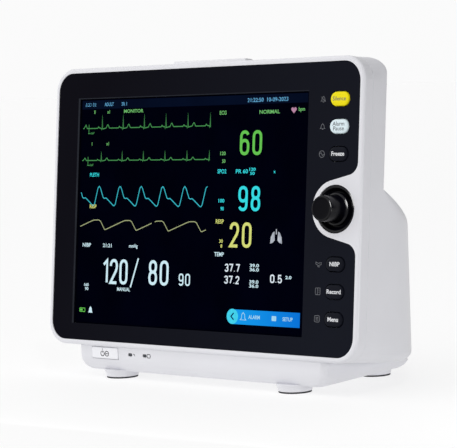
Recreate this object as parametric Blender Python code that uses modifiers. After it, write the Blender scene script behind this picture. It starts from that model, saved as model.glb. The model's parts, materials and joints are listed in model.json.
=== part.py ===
"""Bedside patient monitor with a tilted 12.1 inch screen, built as separate pieces.

Lengths are metres. The object stands on Z = 0, its front faces -Y and +X is the viewer's
right. Everything on the front is laid out in the face frame: its origin is the middle of the
black front panel, its Z runs up the panel and its Y runs straight into the case.
"""

from math import cos, pi, radians, sin, sqrt, tan

import bmesh
import bpy
from mathutils import Matrix, Vector

# ---------------------------------------------------------------- driving dimensions
GAP = 0.0003  # clearance between pieces that touch
WALL = 0.0025  # moulded wall thickness
FACE_TILT = radians(6.2)  # the screen leans back by this much
FACE_Z = 0.1406  # height of the middle of the front panel above the table
FACE_Y = -0.0562  # the same point's Y, which centres the object on the origin

FRAME_W, FRAME_H = 0.3310, 0.2298  # outline of the white front frame
FRAME_BACK = 0.0120  # depth at which the frame meets the rear housing
FRAME_FRONT = -0.0005  # the frame's rim stands this proud of the panel
CORNER_R = 0.0190  # corners of the frame and housing, seen from the front
SIDE_TAPER = radians(9.0)  # the sides close in towards the back

PANEL_W, PANEL_H, PANEL_R = 0.3223, 0.2215, 0.0155
PANEL_T = 0.0020
PANEL_SEAT = 0.0023  # depth of the frame's floor, which carries the panel
FLOOR_T = 0.0020

SCREEN_X, SCREEN_Z = -0.0122, -0.0040  # middle of the screen in the face frame
SCREEN_W, SCREEN_H = 0.2460, 0.1845  # active area, 12.1 inch at 4:3

KNOB_X = 0.1407
KNOB_PROUD = 0.0170
SHAFT_R, SHAFT_BORE_R = 0.0030, 0.0033
BOARD_FRONT, BOARD_T = 0.0084, 0.0016  # the key board, which carries the encoder too
DISH_R = 0.0180
BITE_R = 0.0220  # the panel's edge swings round the knob at this radius
BITE_SLOPE = radians(13.5)
BITE_FILLET = 0.0100

KEY_X = 0.1422
KEY_PITCH = 0.0206
KEY_W, KEY_H = 0.0180, 0.0110
KEY_GAP = 0.0004
KEY_PROUD = 0.0012
STEM_W, STEM_H = 0.0060, 0.0040
KEYS = {  # name: (steps of KEY_PITCH above the knob, colour)
    "key_silence": (4, "key_yellow"),
    "key_alarm_pause": (3, "key_pale"),
    "key_freeze": (2, "key_black"),
    "key_nibp": (-2, "key_black"),
    "key_record": (-3, "key_black"),
    "key_menu": (-4, "key_black"),
}

SLAB_DEPTH = 0.0366  # back of the thin upper part, in the face frame
HUMP_DEPTH = 0.1310  # back of the deep lower part, level with the panel's middle
SHOULDER_Z = 0.0160  # the lower part begins here, in the face frame
SHOULDER_DROP = 0.0250
SLAB_CORNER_R, HUMP_CORNER_R = 0.0070, 0.1010
HUMP_CORNER_EASE = 0.0300  # the big corners tighten by this much per metre below the middle
TOP_EDGE_R, LOWER_EDGE_R = 0.0115, 0.0085  # the back's edges, tighter than CORNER_R
SCREW_SPOTS = ((-0.1350, 0.0850), (0.1350, 0.0850))  # the two screws at the top of the back
BACK_Y = HUMP_DEPTH * cos(FACE_TILT)  # the upright back wall, from the face frame's origin

BASE_HALF_W = 0.1325
BASE_FRONT, BASE_BACK = -0.0100, 0.1200  # from the face frame's origin, along Y
BASE_BOTTOM = 0.0058  # underside of the base above the table
BASE_TAPER = radians(5.40)
BASE_FRONT_R, BASE_REAR_R = 0.0055, 0.0160
BASE_HOLLOW_REAR_R = 0.0600  # the hollow stays under the case's round rear corners
BASE_REAR_EASE = 1.1  # the rear lower edges are rounded this many times more
FOOT_X, FOOT_FRONT, FOOT_REAR = 0.0930, 0.0015, 0.1000
FOOT_R, FOOT_FLARE = 0.0132, 0.0016
PAD_T = 0.0012
FEET = (
    ("foot_pad_front_left", -FOOT_X, FOOT_FRONT),
    ("foot_pad_front_right", FOOT_X, FOOT_FRONT),
    ("foot_pad_rear_left", -FOOT_X, FOOT_REAR),
    ("foot_pad_rear_right", FOOT_X, FOOT_REAR),
)
BASE_SCREW_X, BASE_SCREW_Y = 0.0600, 0.0200
DOOR_W, DOOR_D, DOOR_X, DOOR_Y = 0.0840, 0.0500, -0.0450, 0.0680

POWER_X, POWER_Z = -0.1005, 0.0205
POWER_W, POWER_H = 0.0300, 0.0094
LED_XS = (-0.0718, -0.0554)
LED_W, LED_H = 0.0040, 0.0020

LAMP_W, LAMP_D, LAMP_X, LAMP_Y = 0.0786, 0.0100, -0.0048, 0.0185
LAMP_PROUD = 0.0034

OUTWARDS = (pi / 2, 0, 0)  # turns a profile's height towards the viewer
BACKWARDS = (-pi / 2, 0, 0)

GRIP_W, GRIP_Z0, GRIP_Z1, GRIP_DEPTH = 0.1080, 0.0620, 0.0920, 0.0160

SIDE_ANGLE = radians(14.0)  # the left side's plan angle where the sockets are
SIDE_X, SIDE_Y = 0.1568, 0.0480  # the side wall there, from the face frame's origin
SIDE_Z = 0.0830
SIDE_W, SIDE_H, SIDE_DEPTH = 0.0660, 0.0840, 0.0065
SOCKET_HOLES = {  # name: (x, z, body radius) on the side recess
    "ecg_socket": (-0.0150, 0.0230, 0.0085),
    "spo2_socket": (0.0150, 0.0230, 0.0075),
    "temp_socket_1": (-0.0150, -0.0040, 0.0055),
    "temp_socket_2": (0.0150, -0.0040, 0.0055),
    "nibp_fitting": (0.0000, -0.0270, 0.0055),
}

PORT_W, PORT_H, PORT_Z, PORT_DEPTH = 0.0860, 0.0280, 0.0480, 0.0090
INLET_X, INLET_W, INLET_H = 0.0240, 0.0280, 0.0200
STUD_X, NETWORK_X = -0.0020, -0.0270
FAN_X, FAN_Z, FAN_SIZE, FAN_T = 0.0220, 0.0900, 0.0400, 0.0100

COLOURS = {  # name: (red, green, blue, roughness, metallic)
    "case_white": (0.80, 0.80, 0.83, 0.42, 0.0),
    "panel_black": (0.012, 0.013, 0.018, 0.16, 0.0),
    "screen_navy": (0.002, 0.003, 0.012, 0.12, 0.0),
    "key_yellow": (0.90, 0.74, 0.01, 0.40, 0.0),
    "key_pale": (0.72, 0.82, 0.86, 0.40, 0.0),
    "key_black": (0.016, 0.017, 0.022, 0.42, 0.0),
    "knob_black": (0.010, 0.010, 0.012, 0.20, 0.0),
    "rubber_dark": (0.030, 0.030, 0.034, 0.85, 0.0),
    "lens_frost": (0.78, 0.80, 0.84, 0.30, 0.0),
    "led_smoke": (0.10, 0.11, 0.12, 0.25, 0.0),
    "board_green": (0.02, 0.16, 0.08, 0.50, 0.0),
    "sheet_steel": (0.62, 0.63, 0.65, 0.35, 1.0),
    "plug_grey": (0.16, 0.17, 0.19, 0.50, 0.0),
    "socket_blue": (0.05, 0.16, 0.42, 0.45, 0.0),
    "socket_white": (0.72, 0.72, 0.72, 0.45, 0.0),
    "brass": (0.72, 0.52, 0.22, 0.30, 1.0),
    "battery_blue": (0.05, 0.09, 0.22, 0.55, 0.0),
}


# ---------------------------------------------------------------- scene and helpers
for old in list(bpy.data.objects):
    bpy.data.objects.remove(old)

PARTS = bpy.data.collections.new("patient_monitor")
CUTTERS = bpy.data.collections.new("cutters")
for group in (PARTS, CUTTERS):
    bpy.context.scene.collection.children.link(group)


def frame_empty(name, location, rotation):
    """An empty that carries pieces laid out in its own frame."""
    empty = bpy.data.objects.new(name, None)
    empty.location = location
    empty.rotation_euler = rotation
    empty.empty_display_size = 0.02
    PARTS.objects.link(empty)
    return empty


FACE = frame_empty("face_frame", (0, FACE_Y, FACE_Z), (-FACE_TILT, 0, 0))
BODY = frame_empty("body_frame", (0, FACE_Y, 0), (0, 0, 0))
SIDE_NORMAL = Vector((-cos(SIDE_ANGLE), sin(SIDE_ANGLE), 0))
SIDE = frame_empty(
    "side_frame",
    Vector((-SIDE_X, FACE_Y + SIDE_Y, SIDE_Z)) - SIDE_NORMAL * SIDE_DEPTH,
    (0, 0, -pi / 2 - SIDE_ANGLE),
)


def material(name):
    """A Principled material of one of COLOURS, made once."""
    if name in bpy.data.materials:
        return bpy.data.materials[name]
    red, green, blue, roughness, metallic = COLOURS[name]
    made = bpy.data.materials.new(name)
    made.use_nodes = True
    shader = made.node_tree.nodes["Principled BSDF"]
    shader.inputs["Base Color"].default_value = (red, green, blue, 1)
    shader.inputs["Roughness"].default_value = roughness
    shader.inputs["Metallic"].default_value = metallic
    made.diffuse_color = (red, green, blue, 1)
    return made


def place(name, mesh, colour, parent, location=(0, 0, 0), rotation=(0, 0, 0)):
    """A named piece in the parts collection, or a cutter when it has no colour."""
    obj = bpy.data.objects.new(name, mesh)
    obj.parent = parent
    obj.location = location
    obj.rotation_euler = rotation
    if colour:
        if not mesh.materials:
            mesh.materials.append(material(colour))
        mesh.shade_smooth()
        mesh.set_sharp_from_angle(angle=radians(32))
        PARTS.objects.link(obj)
    else:
        obj.hide_render = True
        obj.display_type = "WIRE"
        CUTTERS.objects.link(obj)
    return obj


def mesh_of(bm, name):
    """A mesh from a bmesh, with its faces turned outwards."""
    bmesh.ops.recalc_face_normals(bm, faces=bm.faces)
    mesh = bpy.data.meshes.new(name)
    bm.to_mesh(mesh)
    bm.free()
    return mesh


def loft(name, rings):
    """A closed mesh through rings of equally many points, capped at both ends."""
    bm = bmesh.new()
    rows = [[bm.verts.new(point) for point in ring] for ring in rings]
    for low, high in zip(rows, rows[1:]):
        for i in range(len(low)):
            j = (i + 1) % len(low)
            bm.faces.new((low[i], low[j], high[j], high[i]))
    bm.faces.new(rows[0])
    bm.faces.new(rows[-1])
    return mesh_of(bm, name)


def box_mesh(name, low, high, bevel=0.0, segments=2):
    """A box between two corners, with its edges rounded if bevel is set."""
    bm = bmesh.new()
    low, high = Vector(low), Vector(high)
    size = Matrix.Diagonal((*(high - low), 1))
    bmesh.ops.create_cube(bm, size=1, matrix=Matrix.Translation((low + high) / 2) @ size)
    if bevel:
        bmesh.ops.bevel(
            bm,
            geom=bm.edges[:],
            offset=bevel,
            segments=segments,
            profile=0.5,
            affect="EDGES",
        )
    return mesh_of(bm, name)


def cylinder_mesh(name, radius, length, sides=24, middle=(0, 0, 0), axis="Z"):
    """A cylinder on an axis through middle."""
    turn = {
        "X": Matrix.Rotation(pi / 2, 4, "Y"),
        "Y": Matrix.Rotation(pi / 2, 4, "X"),
        "Z": Matrix.Identity(4),
    }[axis]
    bm = bmesh.new()
    bmesh.ops.create_cone(
        bm,
        cap_ends=True,
        segments=sides,
        radius1=radius,
        radius2=radius,
        depth=length,
        matrix=Matrix.Translation(middle) @ turn,
    )
    return mesh_of(bm, name)


def turned(name, profile, colour, parent, location=(0, 0, 0), rotation=(0, 0, 0), steps=28):
    """A turned piece: its profile is (radius, height) down the outer side, turned about Z."""
    closed = profile[0][0] > 0
    count = len(profile)
    edges = [(i, i + 1) for i in range(count - 1)]
    if closed:
        edges.append((count - 1, 0))
    mesh = bpy.data.meshes.new(name)
    mesh.from_pydata([(r, 0, z) for r, z in profile], edges, [])
    obj = place(name, mesh, colour, parent, location, rotation)
    screw = obj.modifiers.new("turn", "SCREW")
    screw.steps = screw.render_steps = steps
    screw.use_merge_vertices = True
    screw.merge_threshold = 1e-6
    screw.use_smooth_shade = True
    return obj


def flat_mesh(name, outlines, y0, y1):
    """A plate between depths y0 and y1. The first outline is its edge, the others are holes."""
    curve = bpy.data.curves.new(name, "CURVE")
    curve.dimensions = "2D"
    curve.fill_mode = "BOTH"
    curve.extrude = (y1 - y0) / 2
    for outline in outlines:
        spline = curve.splines.new("POLY")
        spline.points.add(len(outline) - 1)
        for point, (x, z) in zip(spline.points, outline):
            point.co = (x, z, 0, 1)
        spline.use_cyclic_u = True
    guide = bpy.data.objects.new(name, curve)
    bpy.context.scene.collection.objects.link(guide)
    graph = bpy.context.evaluated_depsgraph_get()
    bm = bmesh.new()
    bm.from_mesh(bpy.data.meshes.new_from_object(guide.evaluated_get(graph)))
    bpy.data.objects.remove(guide)
    bmesh.ops.remove_doubles(bm, verts=bm.verts, dist=1e-6)
    upright = Matrix.Translation((0, (y0 + y1) / 2, 0)) @ Matrix.Rotation(pi / 2, 4, "X")
    bmesh.ops.transform(bm, matrix=upright, verts=bm.verts)
    return mesh_of(bm, name)


def boolean(
    target, mesh, operation="DIFFERENCE", parent=FACE, location=(0, 0, 0), rotation=(0, 0, 0)
):
    """Cuts or joins target with a mesh, which becomes a cutter in parent's frame."""
    cutter = place(target.name + "_" + mesh.name, mesh, None, parent, location, rotation)
    modifier = target.modifiers.new(mesh.name, "BOOLEAN")
    modifier.operation = operation
    modifier.object = cutter
    return cutter


# ---------------------------------------------------------------- outlines
def arc(x, z, radius, start, end, steps):
    """Points along an arc, with its angles in degrees."""
    turns = [radians(start + (end - start) * i / steps) for i in range(steps + 1)]
    return [(x + radius * cos(a), z + radius * sin(a)) for a in turns]


def rounded_rect(width, height, radius, x=0.0, z=0.0, steps=5):
    """A rectangle with round corners, anticlockwise from its lower right corner."""
    dx, dz = width / 2 - radius, height / 2 - radius
    points = []
    for i, (sx, sz) in enumerate(((1, -1), (1, 1), (-1, 1), (-1, -1))):
        start = -90 + 90 * i
        points += arc(x + sx * dx, z + sz * dz, radius, start, start + 90, steps)
    return points


def stadium(width, height, x=0.0, z=0.0, steps=6):
    """A pill shape, lying along X."""
    dx = (width - height) / 2
    right = arc(x + dx, z, height / 2, -90, 90, steps)
    left = arc(x - dx, z, height / 2, 90, 270, steps)
    return right + left


def circle(radius, x=0.0, z=0.0, steps=24):
    return arc(x, z, radius, 0, 360, steps)[:-1]


def panel_outline(grow=0.0):
    """The black panel's edge, which swings in round the knob. grow widens it all round."""
    half_w, half_h = PANEL_W / 2 + grow, PANEL_H / 2 + grow
    corner = PANEL_R + grow
    slope = BITE_SLOPE
    bite = BITE_R - grow
    fillet = BITE_FILLET + grow
    touch_x, touch_z = KNOB_X - bite * sin(slope), bite * cos(slope)
    fillet_x = half_w - fillet
    fillet_z = touch_z + (fillet + sin(slope) * (fillet_x - touch_x)) / cos(slope)
    turn = 90 - BITE_SLOPE * 180 / pi
    dx, dz = half_w - corner, half_h - corner
    points = arc(-dx, dz, corner, 180, 90, 6) + arc(dx, dz, corner, 90, 0, 6)
    points += arc(fillet_x, fillet_z, fillet, 0, -turn, 5)
    points += arc(KNOB_X, 0, bite, 180 - turn, 180 + turn, 14)
    points += arc(fillet_x, -fillet_z, fillet, turn, 0, 5)
    return points + arc(dx, -dz, corner, 0, -90, 6) + arc(-dx, -dz, corner, -90, -180, 6)


def key_outlines(grow):
    """The key holes' outlines, larger than the keys by grow on each side."""
    return [
        stadium(KEY_W + 2 * grow, KEY_H + 2 * grow, KEY_X, step * KEY_PITCH)
        for step, _ in KEYS.values()
    ]


def at_depth(outline, y):
    return [(x, y, z) for x, z in outline]


# ---------------------------------------------------------------- front frame and panel
def frame_ring(y, inset, steps=7):
    """The frame's outline at depth y."""
    width = FRAME_W - 2 * (tan(SIDE_TAPER) * max(y, 0) + inset)
    return at_depth(rounded_rect(width, FRAME_H - 2 * inset, CORNER_R - inset, steps=steps), y)


def front_frame():
    """The white frame: a tray with a floor for the panel, open to the back."""
    edge = 0.0024
    rings = []
    for angle in (0, 30, 60, 90):
        a = radians(angle)
        rings.append(frame_ring(FRAME_FRONT + edge * (1 - cos(a)), edge * (1 - sin(a))))
    rings.append(frame_ring(FRAME_BACK, 0))
    frame = place("front_frame", loft("front_frame", rings), "case_white", FACE)
    seat = flat_mesh("seat", [panel_outline(GAP / 2)], -0.005, PANEL_SEAT)
    boolean(frame, seat)
    back_w, back_h = FRAME_W - 0.0102, FRAME_H - 0.0064
    back = rounded_rect(back_w, back_h, CORNER_R - 0.0035)
    boolean(frame, flat_mesh("hollow", [back], PANEL_SEAT + FLOOR_T, 0.02))
    window = rounded_rect(SCREEN_W + 0.0042, SCREEN_H + 0.0060, 0.001, SCREEN_X, SCREEN_Z, 1)
    boolean(frame, flat_mesh("window", [window], 0.001, 0.01))
    for i, outline in enumerate(key_outlines(KEY_GAP)):
        boolean(frame, flat_mesh(f"key_hole_{i}", [outline], 0.001, 0.01))
    dish = cylinder_mesh("dish_hole", DISH_R + GAP, 0.02, 32, (KNOB_X, 0.002, 0), "Y")
    boolean(frame, dish)


def front_panel():
    """The glossy black panel, with its window and the six key holes."""
    window = rounded_rect(SCREEN_W + 0.0015, SCREEN_H + 0.0015, 0.0008, SCREEN_X, SCREEN_Z, 1)
    outlines = [panel_outline(), window] + key_outlines(KEY_GAP)
    place("front_panel", flat_mesh("front_panel", outlines, 0, PANEL_T), "panel_black", FACE)


# ---------------------------------------------------------------- screen and its chassis
def screen():
    """The display module, whose glass comes forward into the panel's window."""
    glass_front, module_front, module_back = 0.0014, 0.0046, 0.0126
    x, z = SCREEN_X, SCREEN_Z
    low = (x - 0.1345, module_front, z - 0.1020)
    high = (x + 0.1345, module_back, z + 0.1020)
    lcd = place("lcd_module", box_mesh("lcd_module", low, high), "screen_navy", FACE)
    half_w, half_h = SCREEN_W / 2 + 0.00035, SCREEN_H / 2 + 0.00035
    glass = box_mesh(
        "glass",
        (x - half_w, glass_front, z - half_h),
        (x + half_w, module_front + 0.001, z + half_h),
    )
    boolean(lcd, glass, "UNION")

    sheet = rounded_rect(0.2660, 0.2000, 0.004, x, z, 2)
    slots = [rounded_rect(0.050, 0.016, 0.003, x + dx, z + 0.075, 2) for dx in (-0.08, 0, 0.08)]
    plate = flat_mesh("chassis_plate", [sheet] + slots, module_back + GAP, module_back + 0.0015)
    place("chassis_plate", plate, "sheet_steel", FACE)


# ---------------------------------------------------------------- keys, key board and knob
def keys():
    """Six keys. Each has a flange behind the frame's floor and a stem that meets its switch."""
    flange_y = PANEL_SEAT + FLOOR_T + GAP
    for name, (step, colour) in KEYS.items():
        rings = [
            at_depth(stadium(KEY_W - 0.0018, KEY_H - 0.0018), -KEY_PROUD),
            at_depth(stadium(KEY_W - 0.0006, KEY_H - 0.0006), -KEY_PROUD + 0.0003),
            at_depth(stadium(KEY_W, KEY_H), -KEY_PROUD + 0.0010),
            at_depth(stadium(KEY_W, KEY_H), flange_y),
            at_depth(stadium(KEY_W + 0.0024, KEY_H + 0.0024), flange_y),
            at_depth(stadium(KEY_W + 0.0024, KEY_H + 0.0024), flange_y + 0.0010),
            at_depth(stadium(STEM_W, STEM_H), flange_y + 0.0010),
            at_depth(stadium(STEM_W, STEM_H), flange_y + 0.0024),
        ]
        place(name, loft(name, rings), colour, FACE, (KEY_X, 0, step * KEY_PITCH))


def key_board():
    """The circuit board behind the keys, with a hole for the encoder's bush."""
    edge = rounded_rect(0.0270, 0.1960, 0.002, 0.1415, 0, 2)
    hole = circle(0.0044, KNOB_X, 0, 16)
    board = flat_mesh("key_board", [edge, hole], BOARD_FRONT, BOARD_FRONT + BOARD_T)
    place("key_board", board, "board_green", FACE)


def knob():
    """Turn-and-push knob on its encoder, in a black dish."""
    middle = (KNOB_X, 0, 0)
    front, base = KNOB_PROUD, -0.0016
    cap = [
        (0, front),
        (0.0084, front),
        (0.0093, front - 0.0004),
        (0.0097, front - 0.0013),
        (0.0104, 0.0030),
        (0.0108, 0.0012),
        (0.0122, 0.0002),
        (0.0125, -0.0006),
        (0.0123, base),
        (SHAFT_BORE_R, base),
        (SHAFT_BORE_R, 0.0123),
        (0, 0.0123),
    ]
    turned("knob_cap", cap, "knob_black", FACE, middle, OUTWARDS)
    dish = [
        (0.0172, 0.0008),
        (DISH_R, 0.0004),
        (DISH_R, -0.0043),
        (0.0045, -0.0043),
        (0.0045, -0.0026),
        (0.0134, -0.0026),
        (0.0142, -0.0018),
        (0.0160, 0.0004),
    ]
    turned("knob_dish", dish, "knob_black", FACE, middle, OUTWARDS, 32)
    shaft = [(0, 0.0120), (SHAFT_R, 0.0120), (SHAFT_R, -0.0150), (0, -0.0150)]
    turned("encoder_shaft", shaft, "brass", FACE, middle, OUTWARDS, 20)
    plunger = [(0, -0.0153), (SHAFT_R, -0.0153), (SHAFT_R, -0.0184), (0, -0.0184)]
    turned("encoder_plunger", plunger, "plug_grey", FACE, middle, OUTWARDS, 20)

    back = BOARD_FRONT + BOARD_T + GAP
    low, high = (-0.0065, back, -0.0065), (0.0065, 0.0170, 0.0065)
    body = place("encoder_body", box_mesh("encoder_body", low, high), "sheet_steel", FACE, middle)
    bush = cylinder_mesh("bush", 0.0040, 0.0070, 20, (KNOB_X, 0.0085, 0), "Y")
    boolean(body, bush, "UNION")
    bore = cylinder_mesh("bore", SHAFT_BORE_R, 0.04, 20, (KNOB_X, 0.01, 0), "Y")
    boolean(body, bore)


# ---------------------------------------------------------------- rear housing
def rounding(past, radius):
    """How far an edge's rounding has come in, past its start, as a part of its radius."""
    part = min(1.0, max(0.0, past / radius))
    return 1 - sqrt(1 - part * part)


def housing_ring(z, wall, front):
    """The housing's plan at height z of the face frame: tapered sides and a rounded back."""
    half_h = FRAME_H / 2 - wall
    corner, edge = CORNER_R - wall, (TOP_EDGE_R if z > 0 else LOWER_EDGE_R) - wall
    front_inset = corner * rounding(abs(z) - (half_h - corner), corner)
    back_inset = edge * rounding(abs(z) - (half_h - edge), edge)
    drop = min(1.0, max(0.0, (SHOULDER_Z - wall - z) / SHOULDER_DROP))
    lower = sin(drop * pi / 2) ** 0.91  # 0 on the thin upper part, 1 on the deep lower part
    hump = HUMP_DEPTH - tan(FACE_TILT) * z
    depth = SLAB_DEPTH + (hump - SLAB_DEPTH) * lower - wall - back_inset
    radius = SLAB_CORNER_R + (HUMP_CORNER_R - SLAB_CORNER_R) * lower - wall
    radius += HUMP_CORNER_EASE * min(z, 0)
    half_w = FRAME_W / 2 - wall / cos(SIDE_TAPER)
    centre_x = half_w - back_inset - tan(SIDE_TAPER) * depth
    centre_x -= radius * (1 - sin(SIDE_TAPER)) / cos(SIDE_TAPER)
    centre_y = depth - radius
    steps = 11
    right = [(half_w - front_inset - tan(SIDE_TAPER) * front, front)]
    for i in range(steps + 1):
        a = SIDE_TAPER + (pi / 2 - SIDE_TAPER) * i / steps
        right.append((centre_x + radius * cos(a), centre_y + radius * sin(a)))
    left = [(-x, y) for x, y in reversed(right)]
    return [(x, y, z) for x, y in right + left]


def housing_levels(wall):
    """Heights of the rings, close together where the shape turns."""
    half_h, corner = FRAME_H / 2 - wall, CORNER_R - wall
    ends = []
    for edge in (LOWER_EDGE_R - wall, TOP_EDGE_R - wall):
        rows = [half_h - corner + corner * sin(radians(a)) for a in (0, 22)]
        ends.append(rows + [half_h - edge + edge * sin(radians(a)) for a in (0, 30, 60, 90)])
    steps = (1, 0.84, 0.68, 0.48, 0.3, 0.14, 0)
    shoulder = [SHOULDER_Z - wall - SHOULDER_DROP * t for t in steps]
    return [-z for z in reversed(ends[0])] + shoulder + ends[1]


def housing_mesh(name, wall, front):
    return loft(name, [housing_ring(z, wall, front) for z in housing_levels(wall)])


def pocket(outer, inner, name, low, high, parent, bevel):
    """A recess: cut from the outside, and kept out of the hollow with a wall round it."""
    boolean(outer, box_mesh(name, low, high, bevel), parent=parent)
    around = Vector((WALL, WALL, WALL))
    kept = box_mesh(name + "_wall", Vector(low) - around, Vector(high) + around)
    boolean(inner, kept, parent=parent)


def slot_rows(name, x, rows, pitch, width, height):
    """Vent slots in one cutter: bars one above another through the back wall."""
    bm = bmesh.new()
    for row in range(rows):
        z = FAN_Z + (row - (rows - 1) / 2) * pitch
        size = Matrix.Diagonal((width, 0.02, height, 1))
        spot = Matrix.Translation((x, BACK_Y, z))
        bmesh.ops.create_cube(bm, size=1, matrix=spot @ size)
    return mesh_of(bm, name)


def rear_housing():
    """The rear shell, open to the front, with its grip, socket and port recesses."""
    front = FRAME_BACK + GAP
    shell = place("rear_housing", housing_mesh("rear_housing", 0, front), "case_white", FACE)
    hollow = place("housing_hollow", housing_mesh("hollow", WALL, front - 0.004), None, FACE)
    pocket(
        shell,
        hollow,
        "grip",
        (-GRIP_W / 2, SLAB_DEPTH - GRIP_DEPTH, GRIP_Z0),
        (GRIP_W / 2, SLAB_DEPTH + 0.02, GRIP_Z1),
        FACE,
        0.005,
    )
    pocket(
        shell,
        hollow,
        "sockets",
        (-SIDE_W / 2, -0.03, -SIDE_H / 2),
        (SIDE_W / 2, 0, SIDE_H / 2),
        SIDE,
        0.003,
    )
    pocket(
        shell,
        hollow,
        "ports",
        (-PORT_W / 2, BACK_Y - PORT_DEPTH, PORT_Z - PORT_H / 2),
        (PORT_W / 2, BACK_Y + 0.02, PORT_Z + PORT_H / 2),
        BODY,
        0.003,
    )
    cut = shell.modifiers.new("hollow", "BOOLEAN")
    cut.operation = "DIFFERENCE"
    cut.object = hollow
    floor = box_mesh("floor_opening", (-0.105, 0.040, -0.130), (0.105, 0.112, -0.100))
    boolean(shell, floor)
    boolean(shell, slot_rows("fan_slots", FAN_X, 7, 0.0050, 0.0330, 0.0026), parent=BODY)
    boolean(shell, slot_rows("speaker_slots", -FAN_X, 7, 0.0050, 0.0330, 0.0026), parent=BODY)
    lamp = rounded_rect(LAMP_W + 2 * GAP, LAMP_D + 2 * GAP, 0.002, steps=2)
    hole = flat_mesh("lamp_hole", [lamp], -0.006, 0.006)
    boolean(shell, hole, location=(LAMP_X, LAMP_Y, FRAME_H / 2), rotation=(pi / 2, 0, 0))
    for outline_name, (x, z, radius) in SOCKET_HOLES.items():
        hole = cylinder_mesh(outline_name, radius + GAP, 0.02, 20, (x, 0, z), "Y")
        boolean(shell, hole, parent=SIDE)
    inlet = box_mesh(
        "inlet_hole",
        (INLET_X - INLET_W / 2 - GAP, BACK_Y - 0.03, PORT_Z - INLET_H / 2 - GAP),
        (INLET_X + INLET_W / 2 + GAP, BACK_Y, PORT_Z + INLET_H / 2 + GAP),
    )
    boolean(shell, inlet, parent=BODY)
    stud = cylinder_mesh("stud_hole", 0.0028, 0.03, 16, (STUD_X, BACK_Y - 0.01, PORT_Z), "Y")
    boolean(shell, stud, parent=BODY)
    ports = box_mesh(
        "network_hole",
        (NETWORK_X - 0.0083, BACK_Y - 0.03, PORT_Z - 0.0073),
        (NETWORK_X + 0.0083, BACK_Y, PORT_Z + 0.0073),
    )
    boolean(shell, ports, parent=BODY)
    for x, z in SCREW_SPOTS:
        hole = cylinder_mesh(f"screw_hole_{x:.2f}", 0.0018, 0.02, 12, (x, SLAB_DEPTH, z), "Y")
        boolean(shell, hole)


# ---------------------------------------------------------------- sockets and ports

def side_sockets():
    """The grey socket plate in the left side's recess, with its sockets and air fitting."""
    edge = rounded_rect(SIDE_W - 0.0064, SIDE_H - 0.0064, 0.004, steps=3)
    holes = [circle(r + GAP, x, z, 20) for x, z, r in SOCKET_HOLES.values()]
    plate = flat_mesh("socket_plate", [edge] + holes, -0.0013, -GAP)
    place("socket_plate", plate, "plug_grey", SIDE)

    looks = {"ecg_socket": "socket_white", "spo2_socket": "socket_blue"}
    for name, (x, z, radius) in SOCKET_HOLES.items():
        if name == "nibp_fitting":
            continue
        bore = radius - 0.0012
        ring = [
            (radius - 0.0006, 0.0045),
            (radius, 0.0039),
            (radius, -0.0110),
            (0.0012, -0.0110),
            (0.0012, -0.0080),
            (bore, -0.0080),
            (bore, 0.0045),
        ]
        colour = looks.get(name, "plug_grey")
        turned(name, ring, colour, SIDE, (x, 0, z), OUTWARDS, 20)
    x, z, radius = SOCKET_HOLES["nibp_fitting"]
    fitting = [
        (0.0022, 0.0072),
        (0.0028, 0.0066),
        (0.0026, 0.0046),
        (0.0032, 0.0038),
        (0.0032, 0.0024),
        (radius, 0.0024),
        (radius, -0.0100),
        (0.0014, -0.0100),
        (0.0014, 0.0072),
    ]
    turned("nibp_fitting", fitting, "sheet_steel", SIDE, (x, 0, z), OUTWARDS, 20)


def rear_ports():
    """Mains inlet, earth stud and network socket on the floor of the rear recess."""
    floor = BACK_Y - PORT_DEPTH
    low = (-INLET_W / 2, floor - 0.0180, -INLET_H / 2)
    high = (INLET_W / 2, floor + 0.0020, INLET_H / 2)
    spot = (INLET_X, 0, PORT_Z)
    inlet = place("mains_inlet", box_mesh("mains_inlet", low, high), "plug_grey", BODY, spot)
    well = box_mesh(
        "well",
        (INLET_X - 0.0120, floor - 0.0160, PORT_Z - 0.0080),
        (INLET_X + 0.0120, floor + 0.01, PORT_Z + 0.0080),
    )
    boolean(inlet, well, parent=BODY)
    for i, (dx, dz) in enumerate(((-0.0070, 0.0015), (0, -0.0015), (0.0070, 0.0015))):
        pin = box_mesh(
            f"pin_{i}",
            (INLET_X + dx - 0.0010, floor - 0.0170, PORT_Z + dz - 0.0020),
            (INLET_X + dx + 0.0010, floor - 0.0010, PORT_Z + dz + 0.0020),
        )
        boolean(inlet, pin, "UNION", BODY)

    stud = [
        (0, 0.0075),
        (0.0018, 0.0075),
        (0.0022, 0.0070),
        (0.0022, 0.0030),
        (0.0045, 0.0030),
        (0.0045, GAP),
        (0.0024, GAP),
        (0.0024, -0.0080),
        (0, -0.0080),
    ]
    turned("earth_stud", stud, "brass", BODY, (STUD_X, floor, PORT_Z), BACKWARDS, 16)

    jack = place(
        "network_jack",
        box_mesh("network_jack", (-0.0080, -0.0150, -0.0070), (0.0080, 0.0012, 0.0070)),
        "sheet_steel",
        BODY,
        (NETWORK_X, floor, PORT_Z),
    )
    mouth = box_mesh(
        "mouth",
        (NETWORK_X - 0.0060, floor - 0.0120, PORT_Z - 0.0045),
        (NETWORK_X + 0.0060, floor + 0.01, PORT_Z + 0.0045),
    )
    boolean(jack, mouth, parent=BODY)


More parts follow.
